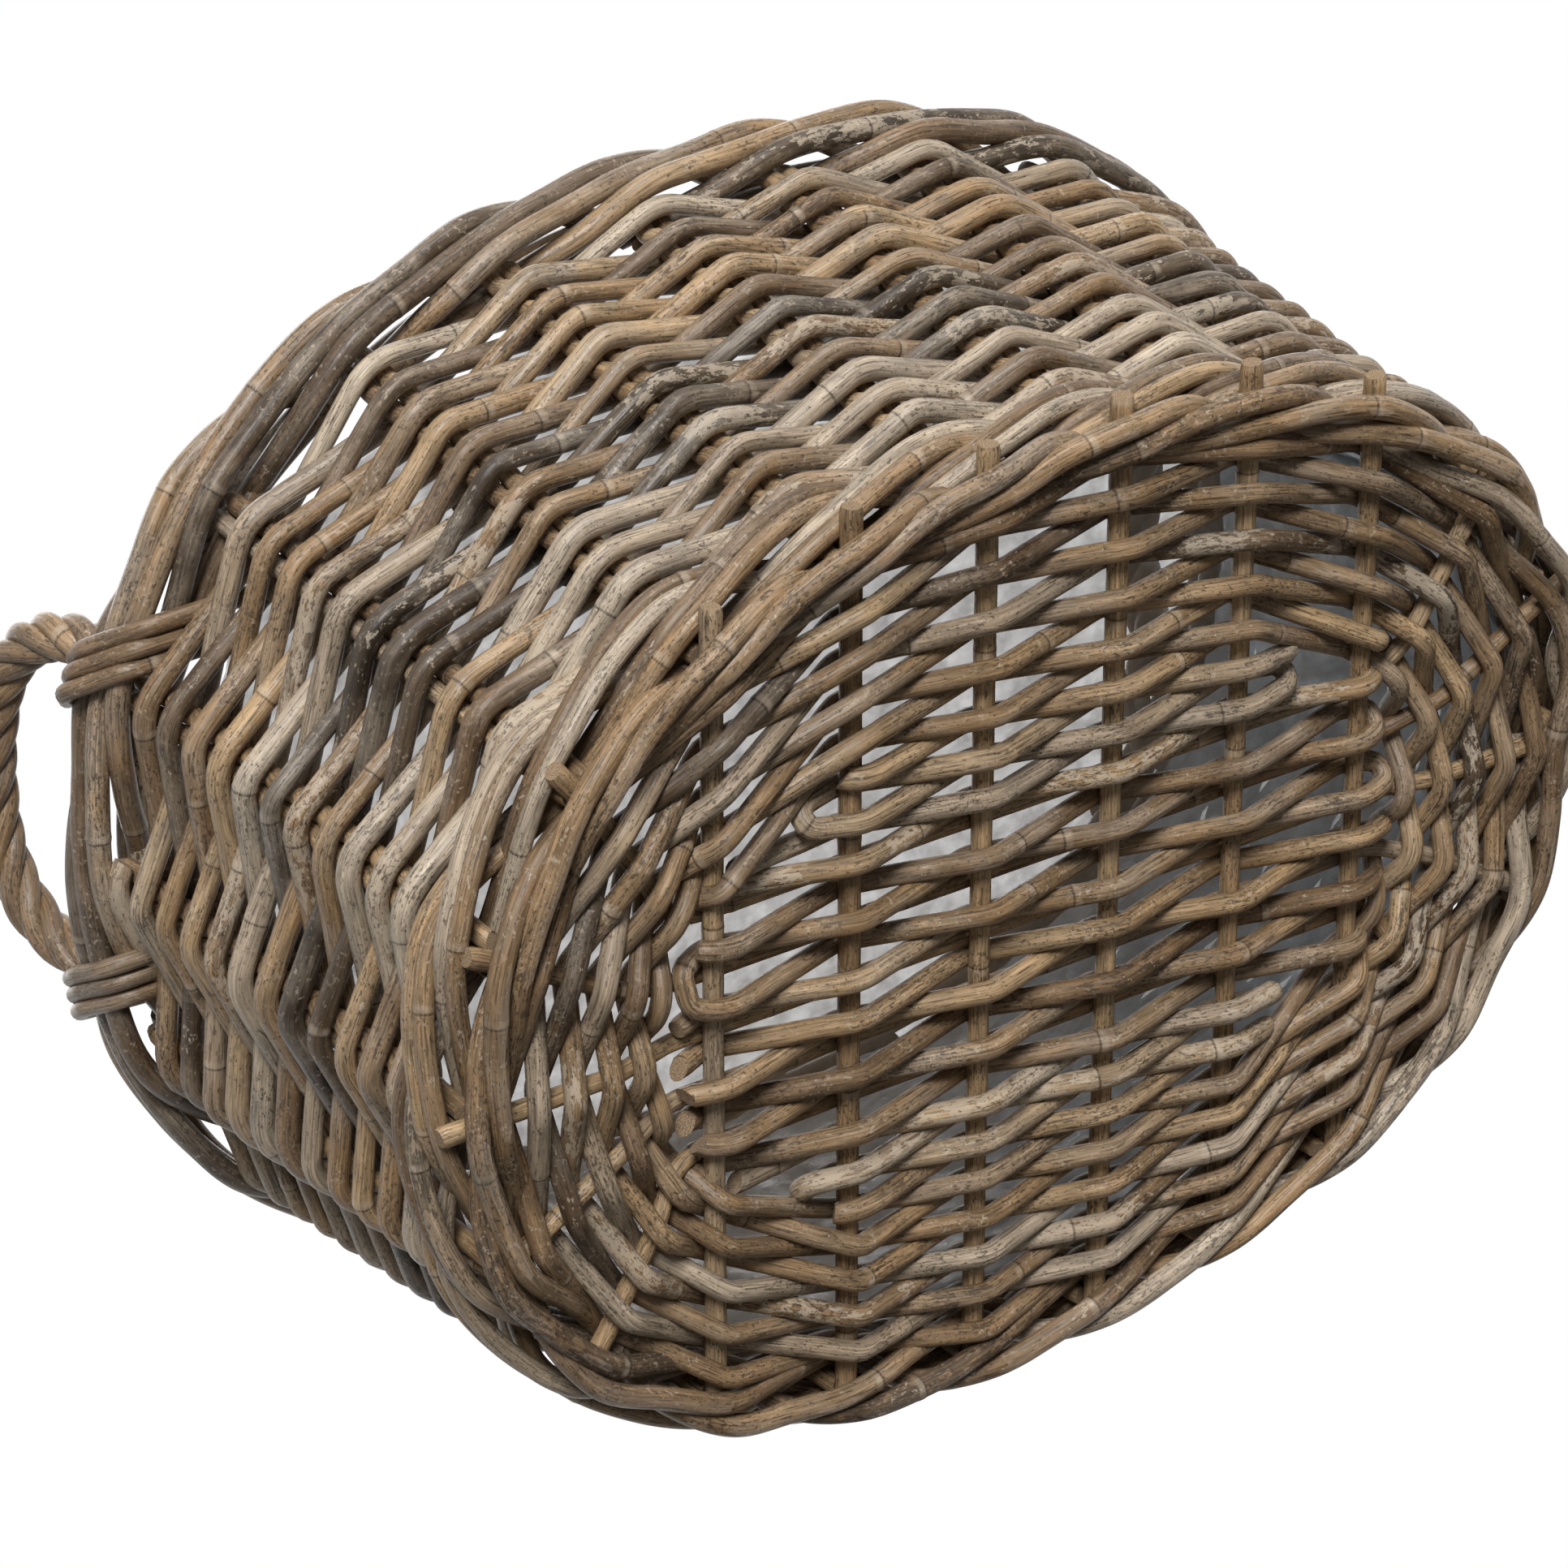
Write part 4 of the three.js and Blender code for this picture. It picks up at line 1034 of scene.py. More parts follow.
def make_stakes():
    for index, place in enumerate(STATIONS):
        rods = Rods()
        for side in (-1, 1):
            offset = side * (PAIR_OFFSET + PAIR_GAP / 2)
            low = place.at(place.foot.z - dice.uniform(0.0, STAKE_FOOT_JITTER), 0.0, offset)
            high = place.at(STAKE_TOP - dice.uniform(0.0, STAKE_TOP_JITTER), 0.0, offset)
            route = [low, *bulge_points(index, offset), high]
            # The stake tones carry painted light against the shade between the wall rods.
            rods.add(route, pick_tone(STAKE_TONES_PAINTED_LIGHT), dice.uniform(0.95, 1.02))
        make_piece(place.node, rods, "rattan_stakes", STAKE_BARK, **STAKE_SIZES)


make_stakes()
print("stakes:", COUNT, "pairs")

# %% [markdown]
# ## Rods laid like rope
#
# The foot, the first course of the wall and the rim are each a few rods that follow one
# another round, like the strands of a rope. A strand of the foot runs under two sticks and
# over the next. On the wall a strand runs outside two or three stakes and inside the next.
# They sweep in long arcs, so their routes are smooth curves instead of bends.
#
# All the strands of a course share one pattern. It says where a strand is in each phase,
# and every strand is one phase ahead of the next. The three patterns come first, and one
# function then lays any of them.

# %% The foot's pattern
FOOT_ROD = 0.0102
STICK_ROD = 0.008
BASE_MIDDLE = middle_of(corner_points("base_cross_stick_1")).z
FOOT_FLOOR = FOOT_ROD / 2
FOOT_TOP = BASE_MIDDLE + (STICK_ROD + FOOT_ROD) / 2 + 0.0008
FOOT_MIDDLE = (FOOT_FLOOR + FOOT_TOP) / 2 - 0.001
FOOT_OUT = 0.0075
FOOT_AT_STATIONS = [(-FOOT_ROD, FOOT_FLOOR), (0.0, FOOT_FLOOR), (-0.0205, FOOT_TOP)]
FOOT_BETWEEN = [(-0.0025, FOOT_FLOOR), (-0.0015, FOOT_MIDDLE), (-0.0165, FOOT_MIDDLE)]


def pressed(place):
    """How far the foot is pushed out of true at a station, from being stood on and dragged about."""
    turn = 2 * math.pi * STATIONS.index(place) / COUNT
    return -0.004 * math.sin(turn) - 0.003 * math.sin(2 * turn) - 0.004 * math.cos(2 * turn)


def stick_place(place, height, outward):
    """Along the base stick that ends at a station: straight across on the long sides."""
    point = place.at(height)
    if is_side(place):
        return Vector((place.foot.x, point.y + outward / place.outward.y, height))
    return point + place.outward * outward


def foot_point(phase, step):
    """A whole step is at a station, and a half step is between two, where a strand is on its way."""
    place, after = station(math.floor(step)), station(math.ceil(step))
    out, height = (FOOT_AT_STATIONS if place is after else FOOT_BETWEEN)[phase]
    out += FOOT_OUT + (pressed(place) + pressed(after)) / 2
    if place is after:
        return stick_place(place, height, out)
    return stick_place(place, height, out).lerp(stick_place(after, height, out), 0.5)


print("base middle at", round(BASE_MIDDLE * 1000, 2), "mm")

# %% The pattern of the upset, the first course of the wall
UPSET_ROD = 0.0088
UPSET_SPREAD = 0.0078
UPSET_PAIR_RISE = 0.0082


def middle_height(node):
    low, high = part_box(node)
    return (low.z + high.z) / 2


UPSET_MIDDLE = middle_height("upset_rod_1")


def upset_point(phase, step):
    outside = wall_reach(step, UPSET_MIDDLE, UPSET_ROD, True)
    inside = wall_reach(step, UPSET_MIDDLE, UPSET_ROD, False)
    outward, up = [(outside, -UPSET_SPREAD), (outside, UPSET_SPREAD), (-inside, 0.0)][phase]
    return station(step).at(UPSET_MIDDLE + up, outward)


print("upset middle at", round(UPSET_MIDDLE * 1000, 2), "mm")

# %% The border's pattern
BORDER_ROD = 0.0107
BORDER_MIDDLE = middle_height("border_rod_1")
BORDER_RISES = [-0.0140, -0.0025, 0.0100, -0.0010]
BORDER_RISES_BETWEEN = [-0.0095, 0.0040, 0.0110, -0.0125]


def border_point(phase, step):
    """A whole step is at a station. Between two, a strand bows outwards as the oval does."""
    outside = wall_reach(math.floor(step), BORDER_MIDDLE, BORDER_ROD, True)
    inside = wall_reach(math.floor(step), BORDER_MIDDLE, BORDER_ROD, False)
    if step % 1 == 0:
        outward = [outside + 0.001, outside + 0.0005, outside - 0.001, -inside][phase]
        return station(step).at(BORDER_MIDDLE + BORDER_RISES[phase], outward)
    outward = [outside + 0.001, outside, 0.003, 0.002][phase]
    height = BORDER_MIDDLE + BORDER_RISES_BETWEEN[phase]
    before, after = station(math.floor(step)), station(math.ceil(step))
    chord = after.at(height) - before.at(height)
    outward += chord.length * before.outward.angle(after.outward) / 8
    return before.at(height, outward).lerp(after.at(height, outward), 0.5)


print("border middle at", round(BORDER_MIDDLE * 1000, 2), "mm")

# %% Laying a strand
LAID_SHORTEST, LAID_LONGEST = 1, 3
LAID_END = 0.12
LAID_JITTER = 0.0008


def laid_route(strand, phases, point_at, parts):
    """A strand once round, with a point at each station, or in two parts also between two."""
    return [
        point_at((k // parts + strand) % phases, k / parts if k % parts else k // parts)
        for k in range(COUNT * parts)
    ]


def shake(most):
    return Vector([dice.uniform(-most, most) for _ in range(3)])


def laid_rods(strand, phases, point_at, hidden, tones, parts, pair_rise):
    """The rods of one strand. They start and end in the phase in which the strand is out of sight.

    pair_rise is how far apart the two rods of a pair lie. It is 0 where the rods are single."""
    rods = Rods()
    route = laid_route(strand, phases, point_at, parts)
    breaks = [step for step in range(COUNT) if (step + strand) % phases == hidden]
    for side in (-0.5, 0.5) if pair_rise else (0,):
        up = Vector((0, 0, pair_rise * side))
        runs = split_lengths(0, len(breaks) - 1, LAID_SHORTEST, LAID_LONGEST)
        marks = [*[breaks[a] for a, _ in runs], breaks[-1], breaks[0] + COUNT]
        for run_from, run_to in zip(marks, marks[1:]):
            points = [route[k % len(route)] + up for k in range(run_from * parts, run_to * parts + 1)]
            lifted = Vector((0, 0, dice.uniform(0.001, 0.002)))
            before = points[0].lerp(points[1], -LAID_END * parts) - lifted
            after = points[-1].lerp(points[-2], -LAID_END * parts) + lifted
            shaken = [p + shake(LAID_JITTER) for p in points[1:-1]]
            line = [before, points[0] - lifted, *shaken, points[-1] + lifted, after]
            rods.add(line, pick_tone(tones), dice.uniform(0.93, 1.06))
    return rods


print("a laid rod lasts for", LAID_SHORTEST, "to", LAID_LONGEST, "rounds of its pattern")

# %% [markdown]
# Inside the rim, the stakes are bent over and lie along it before they end. They close the
# gaps that the border's strands leave, so they belong to its last strand.

# %% The course inside the rim
INNER_COURSE_CLIMB = 0.0050
INNER_COURSE_DROP = 0.0110
INNER_COURSE_STEPS = 4
INNER_COURSE_SHARE = 0.9


def add_inner_course(rods):
    for start in range(0, COUNT, INNER_COURSE_STEPS // 2):
        points = []
        for step in range(start, start + INNER_COURSE_STEPS + 1):
            inside = wall_reach(step, BORDER_MIDDLE, BORDER_ROD, False)
            height = BORDER_MIDDLE + (INNER_COURSE_CLIMB * (step - start) - INNER_COURSE_DROP)
            points.append(station(step).at(height, -inside * INNER_COURSE_SHARE))
        # These rods take the stick tones, which are dark partly as painted shade.
        rods.add(points, pick_tone(STICK_TONES_PAINTED_SHADE), dice.uniform(0.95, 1.05))


print("ends inside the rim:", COUNT // (INNER_COURSE_STEPS // 2))

# %% Foot, upset and border
LAID_SPACING = 0.19


def make_laid(name, phases, point_at, hidden, tones, rod, slot, bark, parts=2, pair_rise=0.0):
    for strand in range(phases):
        rods = laid_rods(strand, phases, point_at, hidden, tones, parts, pair_rise)
        if point_at is border_point and strand == phases - 1:
            add_inner_course(rods)
        sizes = {"Thickness": rod, "Sweeping": True, "Joint Spacing": LAID_SPACING}
        make_piece(f"{name}_{strand + 1}", rods, slot, bark, **sizes)


make_laid("foot_rod", 3, foot_point, 2, FOOT_TONES, FOOT_ROD, "rattan_foot", FOOT_BARK)
make_laid(
    "upset_rod", 3, upset_point, 2, FOOT_TONES, UPSET_ROD, "rattan_foot", FOOT_BARK,
    parts=1, pair_rise=UPSET_PAIR_RISE,
)
make_laid("border_rod", 4, border_point, 3, WALL_TONES, BORDER_ROD, "rattan_border", BORDER_BARK)
print("laid courses made, rods so far:", Rods.made)

# %% [markdown]
# ## The base sticks
#
# Six sticks cross the base. Five longer ones lie over them and fan out at the ends of the
# oval. Their cut ends poke out beside the foot, and on one side they have worn shorter.
#
# The rows that go round the base and the fan of the sticks depend on each other. So the
# places where the rows cross each stick come first, and the sticks are drawn through them.

# %% Where the rows that go round cross a stick
ROW_PITCH = 0.0094
RING_ROWS = 9
RING_EDGE = 0.0125
END_RING_DEPTH = 0.0869
FULL_ROWS, SHORT_ROWS = 7, 11
OUTER_STICK = max(CROSS_PLACES)
FAN_FOCUS_INSET = 0.017


def ring_ends(place):
    """Where the innermost and the outermost row that goes round the base cross a station's stick."""
    edge = RING_EDGE - pressed(place)
    if is_side(place):
        x, side = place.foot.x, math.copysign(1, place.foot.y)
        rows = FULL_ROWS if abs(abs(x) - OUTER_STICK) < SAME_PLACE else SHORT_ROWS
        outer = abs(place.at(0.0).y) - edge / abs(place.outward.y)
        return Vector((x, side * (rows + 1) * ROW_PITCH, 0)), Vector((x, side * outer, 0))
    start = raised(place.at(0.0), 0)
    focus = Vector((math.copysign(OUTER_STICK - FAN_FOCUS_INSET, place.foot.x), 0, 0))
    way = (focus - start).normalized()
    square = abs(way.dot(place.outward))
    return start + way * (END_RING_DEPTH / square), start + way * (edge / square)


print("rows round the base:", RING_ROWS)

# %% The ends of the sticks
STICK_PROUD = 0.0205
STICK_WORN = 0.0085
STICK_PROUD_JITTER = 0.004
STICK_CUT_SLANT = 0.15
STICK_WANDER = 0.0003
EDGE_GIRTHS = [1.18, 1.14]


def stick_proud(place):
    """How far a stick stands out of the stakes. They have worn shorter on one side."""
    index = STATIONS.index(place)
    worn = STICK_WORN if 0 < index < COUNT / 2 or index >= COUNT - 2 else 0
    return STICK_PROUD + pressed(place) - worn - dice.uniform(0, STICK_PROUD_JITTER)


def stick_sizes(thickness, spacing):
    sizes = {"Thickness": thickness, "Joint Spacing": spacing}
    return {**sizes, "Wander": STICK_WANDER, "Slant Of Cut": STICK_CUT_SLANT}


print("sticks stand out by", STICK_PROUD * 1000, "mm, or", (STICK_PROUD - STICK_WORN) * 1000, "where worn")

# %% Cross sticks
CROSS_ROD = 0.0084
CROSS_SPACING = 0.13
THICK_STICK, THICK_GIRTH = 1, 1.16


def make_cross_sticks():
    for index, x in enumerate(CROSS_PLACES):
        ends = [p for p in STATIONS if is_side(p) and abs(p.foot.x - x) < SAME_PLACE]
        ends.sort(key=lambda p: p.foot.y)
        tips = [stick_place(p, BASE_MIDDLE, stick_proud(p)) for p in ends]
        edges = [stick_place(p, BASE_MIDDLE, 0) for p in ends]
        middle = tips[0].lerp(tips[1], 0.5) + Vector((dice.uniform(-0.0006, 0.0006), 0, 0))
        thick = THICK_GIRTH if index == THICK_STICK else dice.uniform(0.96, 1.08)
        girths = [*EDGE_GIRTHS, thick, *reversed(EDGE_GIRTHS)]
        rods = Rods()
        rods.add([tips[0], edges[0], middle, edges[1], tips[1]], pick_tone(STAKE_TONES_PAINTED_LIGHT), girths)
        sizes = stick_sizes(CROSS_ROD, CROSS_SPACING)
        make_piece(f"base_cross_stick_{index + 1}", rods, "rattan_base", STAKE_BARK, **sizes)


make_cross_sticks()
print("cross sticks at", [round(x * 1000) for x in CROSS_PLACES], "mm")

# %% The fan of the long sticks
LONG_STICKS = 5
ROWS_PER_LONG_STICK = 3
LONG_STICK_HEIGHT = BASE_MIDDLE + STICK_ROD + 0.0003
FAN_START_OUT = 0.0175
FAN_RISE_SHARE = 0.72


def end_stations(side):
    """The stations of one end of the oval, in the order of the long sticks."""
    found = [p for p in STATIONS if not is_side(p) and p.foot.x * side > 0]
    return sorted(found, key=lambda p: p.foot.y)


def fan_starts():
    """Where each long stick leaves its straight part, by the node of the stakes that its end meets."""
    starts = {}
    for side in (-1, 1):
        for row, place in enumerate(end_stations(side)):
            y = (row - (LONG_STICKS - 1) / 2) * ROWS_PER_LONG_STICK * ROW_PITCH
            starts[place.node] = Vector((side * (OUTER_STICK + FAN_START_OUT), y, LONG_STICK_HEIGHT))
    return starts


FAN_STARTS = fan_starts()


def fan_low(place):
    """Where a long stick starts to climb over the last cross stick, and the outermost row."""
    inner, outer = ring_ends(place)
    return outer.lerp(inner, FAN_RISE_SHARE), outer


def stick_height(place, point):
    """The height of a station's stick under a point: the long sticks climb over the last cross stick."""
    if is_side(place):
        return BASE_MIDDLE
    low, _ = fan_low(place)
    way = raised(FAN_STARTS[place.node], 0) - low
    share = min(max((point - low).dot(way) / way.length_squared, 0), 1)
    return BASE_MIDDLE + (LONG_STICK_HEIGHT - BASE_MIDDLE) * share


print("long sticks:", LONG_STICKS, "over", len(CROSS_PLACES), "cross sticks")

# %% Long sticks
LONG_BEND = 0.03
LONG_SPACING = 0.14
LONG_GIRTHS = [1.18, 1.1, 1.0, 1.0]


def half_a_long_stick(place):
    """The points of a long stick from its tip to where its straight part starts."""
    low, outer = fan_low(place)
    tip = stick_place(place, BASE_MIDDLE, stick_proud(place))
    return [tip, raised(outer, BASE_MIDDLE), raised(low, BASE_MIDDLE), FAN_STARTS[place.node]]


def make_long_sticks():
    for row, ends in enumerate(zip(end_stations(-1), end_stations(1))):
        left, right = [half_a_long_stick(place) for place in ends]
        girths = [*LONG_GIRTHS, *reversed(LONG_GIRTHS)]
        rods = Rods()
        rods.add([*left, *reversed(right)], pick_tone(STAKE_TONES_PAINTED_LIGHT), girths, bend=LONG_BEND)
        sizes = stick_sizes(STICK_ROD, LONG_SPACING)
        make_piece(f"base_long_stick_{row + 1}", rods, "rattan_base", STAKE_BARK, **sizes)


make_long_sticks()
print("base sticks made, rods so far:", Rods.made)

# %% [markdown]
# ## The rows of the base
#
# The middle of the base is woven to and fro over the cross sticks. Some rods turn back
# round the last stick in a tight hairpin, others end just past it in a cut face.
#
# Separate rows would be simpler, but the hairpins are what the eye catches on. So one
# function walks to and fro as a weaver's hand does, and lays down points as it goes.

# %% The rows of the middle
BASE_ROD = 0.0096
BASE_SIZES = {"Thickness": BASE_ROD, "Joint Spacing": 0.25}


def base_rise(spacing):
    return reach_round(BASE_ROD, spacing, crossed=CROSS_ROD, offset=0)


def base_rows(first, last):
    """How far out the rows lie, by number. A long stick takes each third place at first."""
    outermost = ROWS_PER_LONG_STICK * (LONG_STICKS // 2)
    return [i * ROW_PITCH for i in range(first, last + 1) if i > outermost or i % ROWS_PER_LONG_STICK]


def block_edge(y):
    """How far along the basket the innermost ring row is, at a distance from the middle line."""
    inner = sorted({(round(abs(p.y), 4), -round(abs(p.x), 4)) for p, _ in map(ring_ends, STATIONS)})
    for (low_y, low_x), (high_y, high_x) in zip(inner, inner[1:]):
        if low_y <= y < high_y:
            return -low_x - (high_x - low_x) * (y - low_y) / (high_y - low_y)
    return 0.0


print("rows of the middle:", [round(row * 1000, 1) for row in base_rows(1, SHORT_ROWS)], "mm out")

# %% Rods woven to and fro
PACK_BEND = 0.022
HAIRPIN_BEND = 0.006
HAIRPIN_CLEAR = 0.0105
HAIRPIN_LEAST, HAIRPIN_MOST = 0.009, 0.026
HAIRPIN_SQUEEZE = 0.12
HAIRPIN_CHANCE = 0.62
END_CLEAR = 0.0075
END_JITTER = 0.005


def end_past(row, last):
    """How far a rod's cut end goes past the last stick."""
    return max(block_edge(row) - END_CLEAR - abs(last), HAIRPIN_LEAST) - dice.uniform(0, END_JITTER)


def packing_rods(rows, side, places, first_over):
    """Rods through a set of rows. A turn is a hairpin or, by chance, a cut end."""
    rods = Rods()
    rise = base_rise(places[1] - places[0])
    points, bends = [], []
    over = first_over

    def add(x, y, up, bend=PACK_BEND):
        points.append(Vector((x, y, BASE_MIDDLE + up)))
        bends.append(bend)

    for index, row in enumerate(rows):
        way = 1 if index % 2 == 0 else -1
        ordered = places if way > 0 else list(reversed(places))
        y = side * row + dice.uniform(-0.0006, 0.0006)
        if not points:
            add(ordered[0] - way * end_past(row, ordered[0]), y, over * rise * 0.25)
        for x in ordered:
            lift = rise + dice.uniform(-0.0002, 0.0006)
            add(x, y + dice.uniform(-0.0005, 0.0005), over * lift)
            over = -over
        over = -over
        last = ordered[-1]
        if index < len(rows) - 1 and dice.random() < HAIRPIN_CHANCE:
            next_y = side * rows[index + 1]
            out = block_edge(rows[index + 1]) - HAIRPIN_CLEAR - abs(last)
            apex = last + way * min(max(out, HAIRPIN_LEAST), HAIRPIN_MOST)
            squeeze = (next_y - y) * HAIRPIN_SQUEEZE
            add(apex, y + squeeze, over * rise * 0.35, HAIRPIN_BEND)
            add(apex, next_y - squeeze, -over * rise * 0.35, HAIRPIN_BEND)
        else:
            past = end_past(row, last)
            add(last + way * past, y + dice.uniform(-0.002, 0.002), over * rise * 0.3)
            rods.add(points, pick_tone(BASE_TONES), dice.uniform(0.94, 1.06), bends=bends)
            points, bends = [], []
        over = -over
    return rods


print("rows in a half of the base:", FULL_ROWS, "full and", SHORT_ROWS, "short")

# %% The middle of the base: full rows between the ends, and shorter ones beside them
def make_packing():
    full_rows = base_rows(1, FULL_ROWS)
    short_rows = base_rows(FULL_ROWS + 1, SHORT_ROWS)
    first_short = -1 if len(full_rows) % 2 == 0 else 1
    for side, name in ((-1, "front"), (1, "back")):
        rods = packing_rods(full_rows, side, CROSS_PLACES, 1)
        make_piece(f"base_packing_{name}", rods, "rattan_base", BASE_BARK, **BASE_SIZES)
        rods = packing_rods(short_rows, side, CROSS_PLACES[1:-1], first_short)
        make_piece(f"base_packing_{name}_short", rods, "rattan_base", BASE_BARK, **BASE_SIZES)


make_packing()
print("middle of the base woven, rods so far:", Rods.made)

# %% [markdown]
# Round that middle go nine more rows out to the foot, over and under every stick. Each
# passes on the other side of a stick than the row before it. Their places are shared out
# evenly along each stick, so they take up the shape of the oval by themselves.

# %% Rows woven round the edge of the base
ROUND_ROD = 0.0094
ROUND_SIZES = {"Thickness": ROUND_ROD, "Joint Spacing": 0.25}
ROUND_BEND = 0.014
ROUND_SHORTEST, ROUND_LONGEST = 7, 18
LEVEL_HALF = 0.0024


def row_place(step, row):
    inner, outer = ring_ends(station(step))
    return outer.lerp(inner, row / (RING_ROWS - 1))


def row_passes_above(step, row):
    return (step + row) % 2 == 1


def row_points(step, row):
    """One row's points at a station: level over a cross stick, and a single bend over a fanned one."""
    place = station(step)
    over = 1 if row_passes_above(step, row) else -1
    here = row_place(step, row)
    height = stick_height(place, here)
    sides = [row_place(step - 1, row), row_place(step + 1, row)]
    spacings = [(side - here).length for side in sides]
    if is_side(place):
        rise = over * (CROSS_ROD + ROUND_ROD) / 2
        level = [here.lerp(side, LEVEL_HALF / way) for side, way in zip(sides, spacings)]
        return [raised(point, height + rise) for point in level]
    reach = reach_round(ROUND_ROD, min(spacings) - LEVEL_HALF, crossed=STICK_ROD, offset=0)
    return [raised(here, height + over * reach)]


def make_round_rods():
    for spiral in range(2):
        rods = Rods()
        for row in range(spiral, RING_ROWS, 2):
            start = dice.randrange(COUNT)
            for run_from, run_to in split_lengths(start, start + COUNT, ROUND_SHORTEST, ROUND_LONGEST):
                run_from += 0 if row_passes_above(run_from, row) else 1
                run_to += 0 if row_passes_above(run_to, row) else 1
                points = [point for step in range(run_from, run_to + 1) for point in row_points(step, row)]
                points[0] = points[0].lerp(points[1], -0.1) + Vector((0, 0, 0.001))
                points = [p + Vector((0, 0, dice.uniform(-0.0003, 0.0003))) for p in points]
                rods.add(points, pick_tone(BASE_TONES), dice.uniform(0.95, 1.06), bend=ROUND_BEND)
        make_piece(f"base_round_weaver_{spiral + 1}", rods, "rattan_base", BASE_BARK, **ROUND_SIZES)


make_round_rods()
print("base woven, rods so far:", Rods.made)

# %% [markdown]
# ## The handles
#
# A handle is four soaked rods twisted into a rope, bent into a bow. A profile of four
# circles, twisted along a curve, would be quicker, but its grain wouldn't follow the
# strands. So they are worked out as a rope maker would lay them: each goes round the middle
# line once for each turn's length of rope, a quarter turn behind the one before.

# %% Places along the rim
HANDLE_LOW_SIDE, HANDLE_HIGH_SIDE = -0.092, 0.057


def border_place(across):
    """A place on the border at the -X end, which way is outwards there, and the station before it."""
    for step in range(COUNT):
        here, after = station(step).at(BORDER_MIDDLE), station(step + 1).at(BORDER_MIDDLE)
        if here.x < 0 and here.y >= across > after.y:
            tangent = (after - here).normalized()
            outward = Vector((tangent.y, -tangent.x, 0))
            share = (here.y - across) / (here.y - after.y)
            return here + tangent * ((after - here).length * share), outward, step
    raise ValueError("the handle has a foot beyond the end of the oval")


feet_after = [border_place(across)[2] for across in (HANDLE_LOW_SIDE, HANDLE_HIGH_SIDE)]
print("the feet of a handle come after the stations", feet_after)

# %% The bow
RIM_HEIGHT = 0.292
ROPE = 0.022
HANDLE_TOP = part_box("handle_left")[1].z + 0.005
HANDLE_LEAN = 0.019
HANDLE_FOOT_OUTSET = 0.008
HANDLE_FOOT_RISE = 0.0035
HANDLE_FOOT_DIP = 0.011
ARCH_POWER = 2.4
ARCH_STEPS = 48


def handle_foot(across):
    middle, outward, _ = border_place(across)
    return middle + outward * HANDLE_FOOT_OUTSET


def bow_points():
    """The middle line of a handle: an arch with full shoulders that leans outwards."""
    low, high = handle_foot(HANDLE_LOW_SIDE), handle_foot(HANDLE_HIGH_SIDE)
    foot_height = RIM_HEIGHT + HANDLE_FOOT_RISE
    rise = HANDLE_TOP - ROPE / 2 - foot_height
    points = []
    for i in range(ARCH_STEPS + 1):
        turn = math.pi * i / ARCH_STEPS
        cosine = math.cos(turn)
        share = (1 - math.copysign(abs(cosine) ** (2 / ARCH_POWER), cosine)) / 2
        up = abs(math.sin(turn)) ** (2 / ARCH_POWER)
        point = low.lerp(high, share)
        points.append(Vector((point.x - HANDLE_LEAN * up, point.y, foot_height + rise * up)))
    dip = Vector((0, 0, HANDLE_FOOT_DIP))
    return [points[0] - dip, *points, points[-1] - dip]


def even_points(points, spacing):
    """The same line with points at even distances."""
    made, carried = [points[0].copy()], 0.0
    for before, after in zip(points, points[1:]):
        length = (after - before).length
        while carried + length >= spacing:
            share = (spacing - carried) / length
            before = before.lerp(after, share)
            made.append(before.copy())
            length = (after - before).length
            carried = 0.0
        carried += length
    made.append(points[-1].copy())
    return made


print("handle top at", round(HANDLE_TOP * 1000, 1), "mm")

# %% The rope's strands
ROPE_STRAND = 0.0098
ROPE_STRANDS = 4
ROPE_TURN_LENGTH = 0.075
ROPE_STEP = 0.004


def wound_strands(line):
    """The strands of a rope that follows a line, each a list of points."""
    strands = [[] for _ in range(ROPE_STRANDS)]
    radius = (ROPE - ROPE_STRAND) / 2
    normal = Vector((-1, 0, 0))
    walked = 0.0
    for index, point in enumerate(line):
        tangent = (line[min(index + 1, len(line) - 1)] - line[max(index - 1, 0)]).normalized()
        normal = (normal - tangent * normal.dot(tangent)).normalized()
        side = tangent.cross(normal)
        for k in range(ROPE_STRANDS):
            turn = 2 * math.pi * (walked / ROPE_TURN_LENGTH + k / ROPE_STRANDS)
            strands[k].append(point + (normal * math.cos(turn) + side * math.sin(turn)) * radius)
        if index < len(line) - 1:
            walked += (line[index + 1] - point).length
    return strands


print("strands in a rope:", ROPE_STRANDS)

# %% [markdown]
# Each end of the bow is bound to the rim by three laps round the whole border, which lean
# over and climb along the rim. A lap is drawn by its corners: at the top and the bottom of
# the border, outside it and inside. The rod tree then rounds them off.

# %% The bindings
BINDING_ROD = 0.0084
BINDING_LAPS = 3
BINDING_PITCH = 0.0088
BINDING_BEND = 0.012
BINDING_TOP, BINDING_OVER, BINDING_BOTTOM, BINDING_UNDER = 0.0215, 0.003, -0.0205, -0.0235
LAPS = {
    HANDLE_LOW_SIDE: (-0.0745, -0.1045, 0.7, 0.85),
    HANDLE_HIGH_SIDE: (0.0790, 0.0515, 1.0, 0.85),
}
BINDING_BULGE = 1.1


def binding_corner(y, out, up):
    """A place beside the rim: out is 1 outside it and -1 inside."""
    middle, outward, step = border_place(y)
    reach = max(wall_reach(s, BORDER_MIDDLE, BORDER_ROD, True) for s in (step, step + 1))
    half_width = reach + (BORDER_ROD + BINDING_ROD) / 2
    point = middle + Vector((out * half_width / outward.x, 0, 0))
    point.z = BORDER_MIDDLE + up + dice.uniform(-0.0005, 0.0005)
    return point


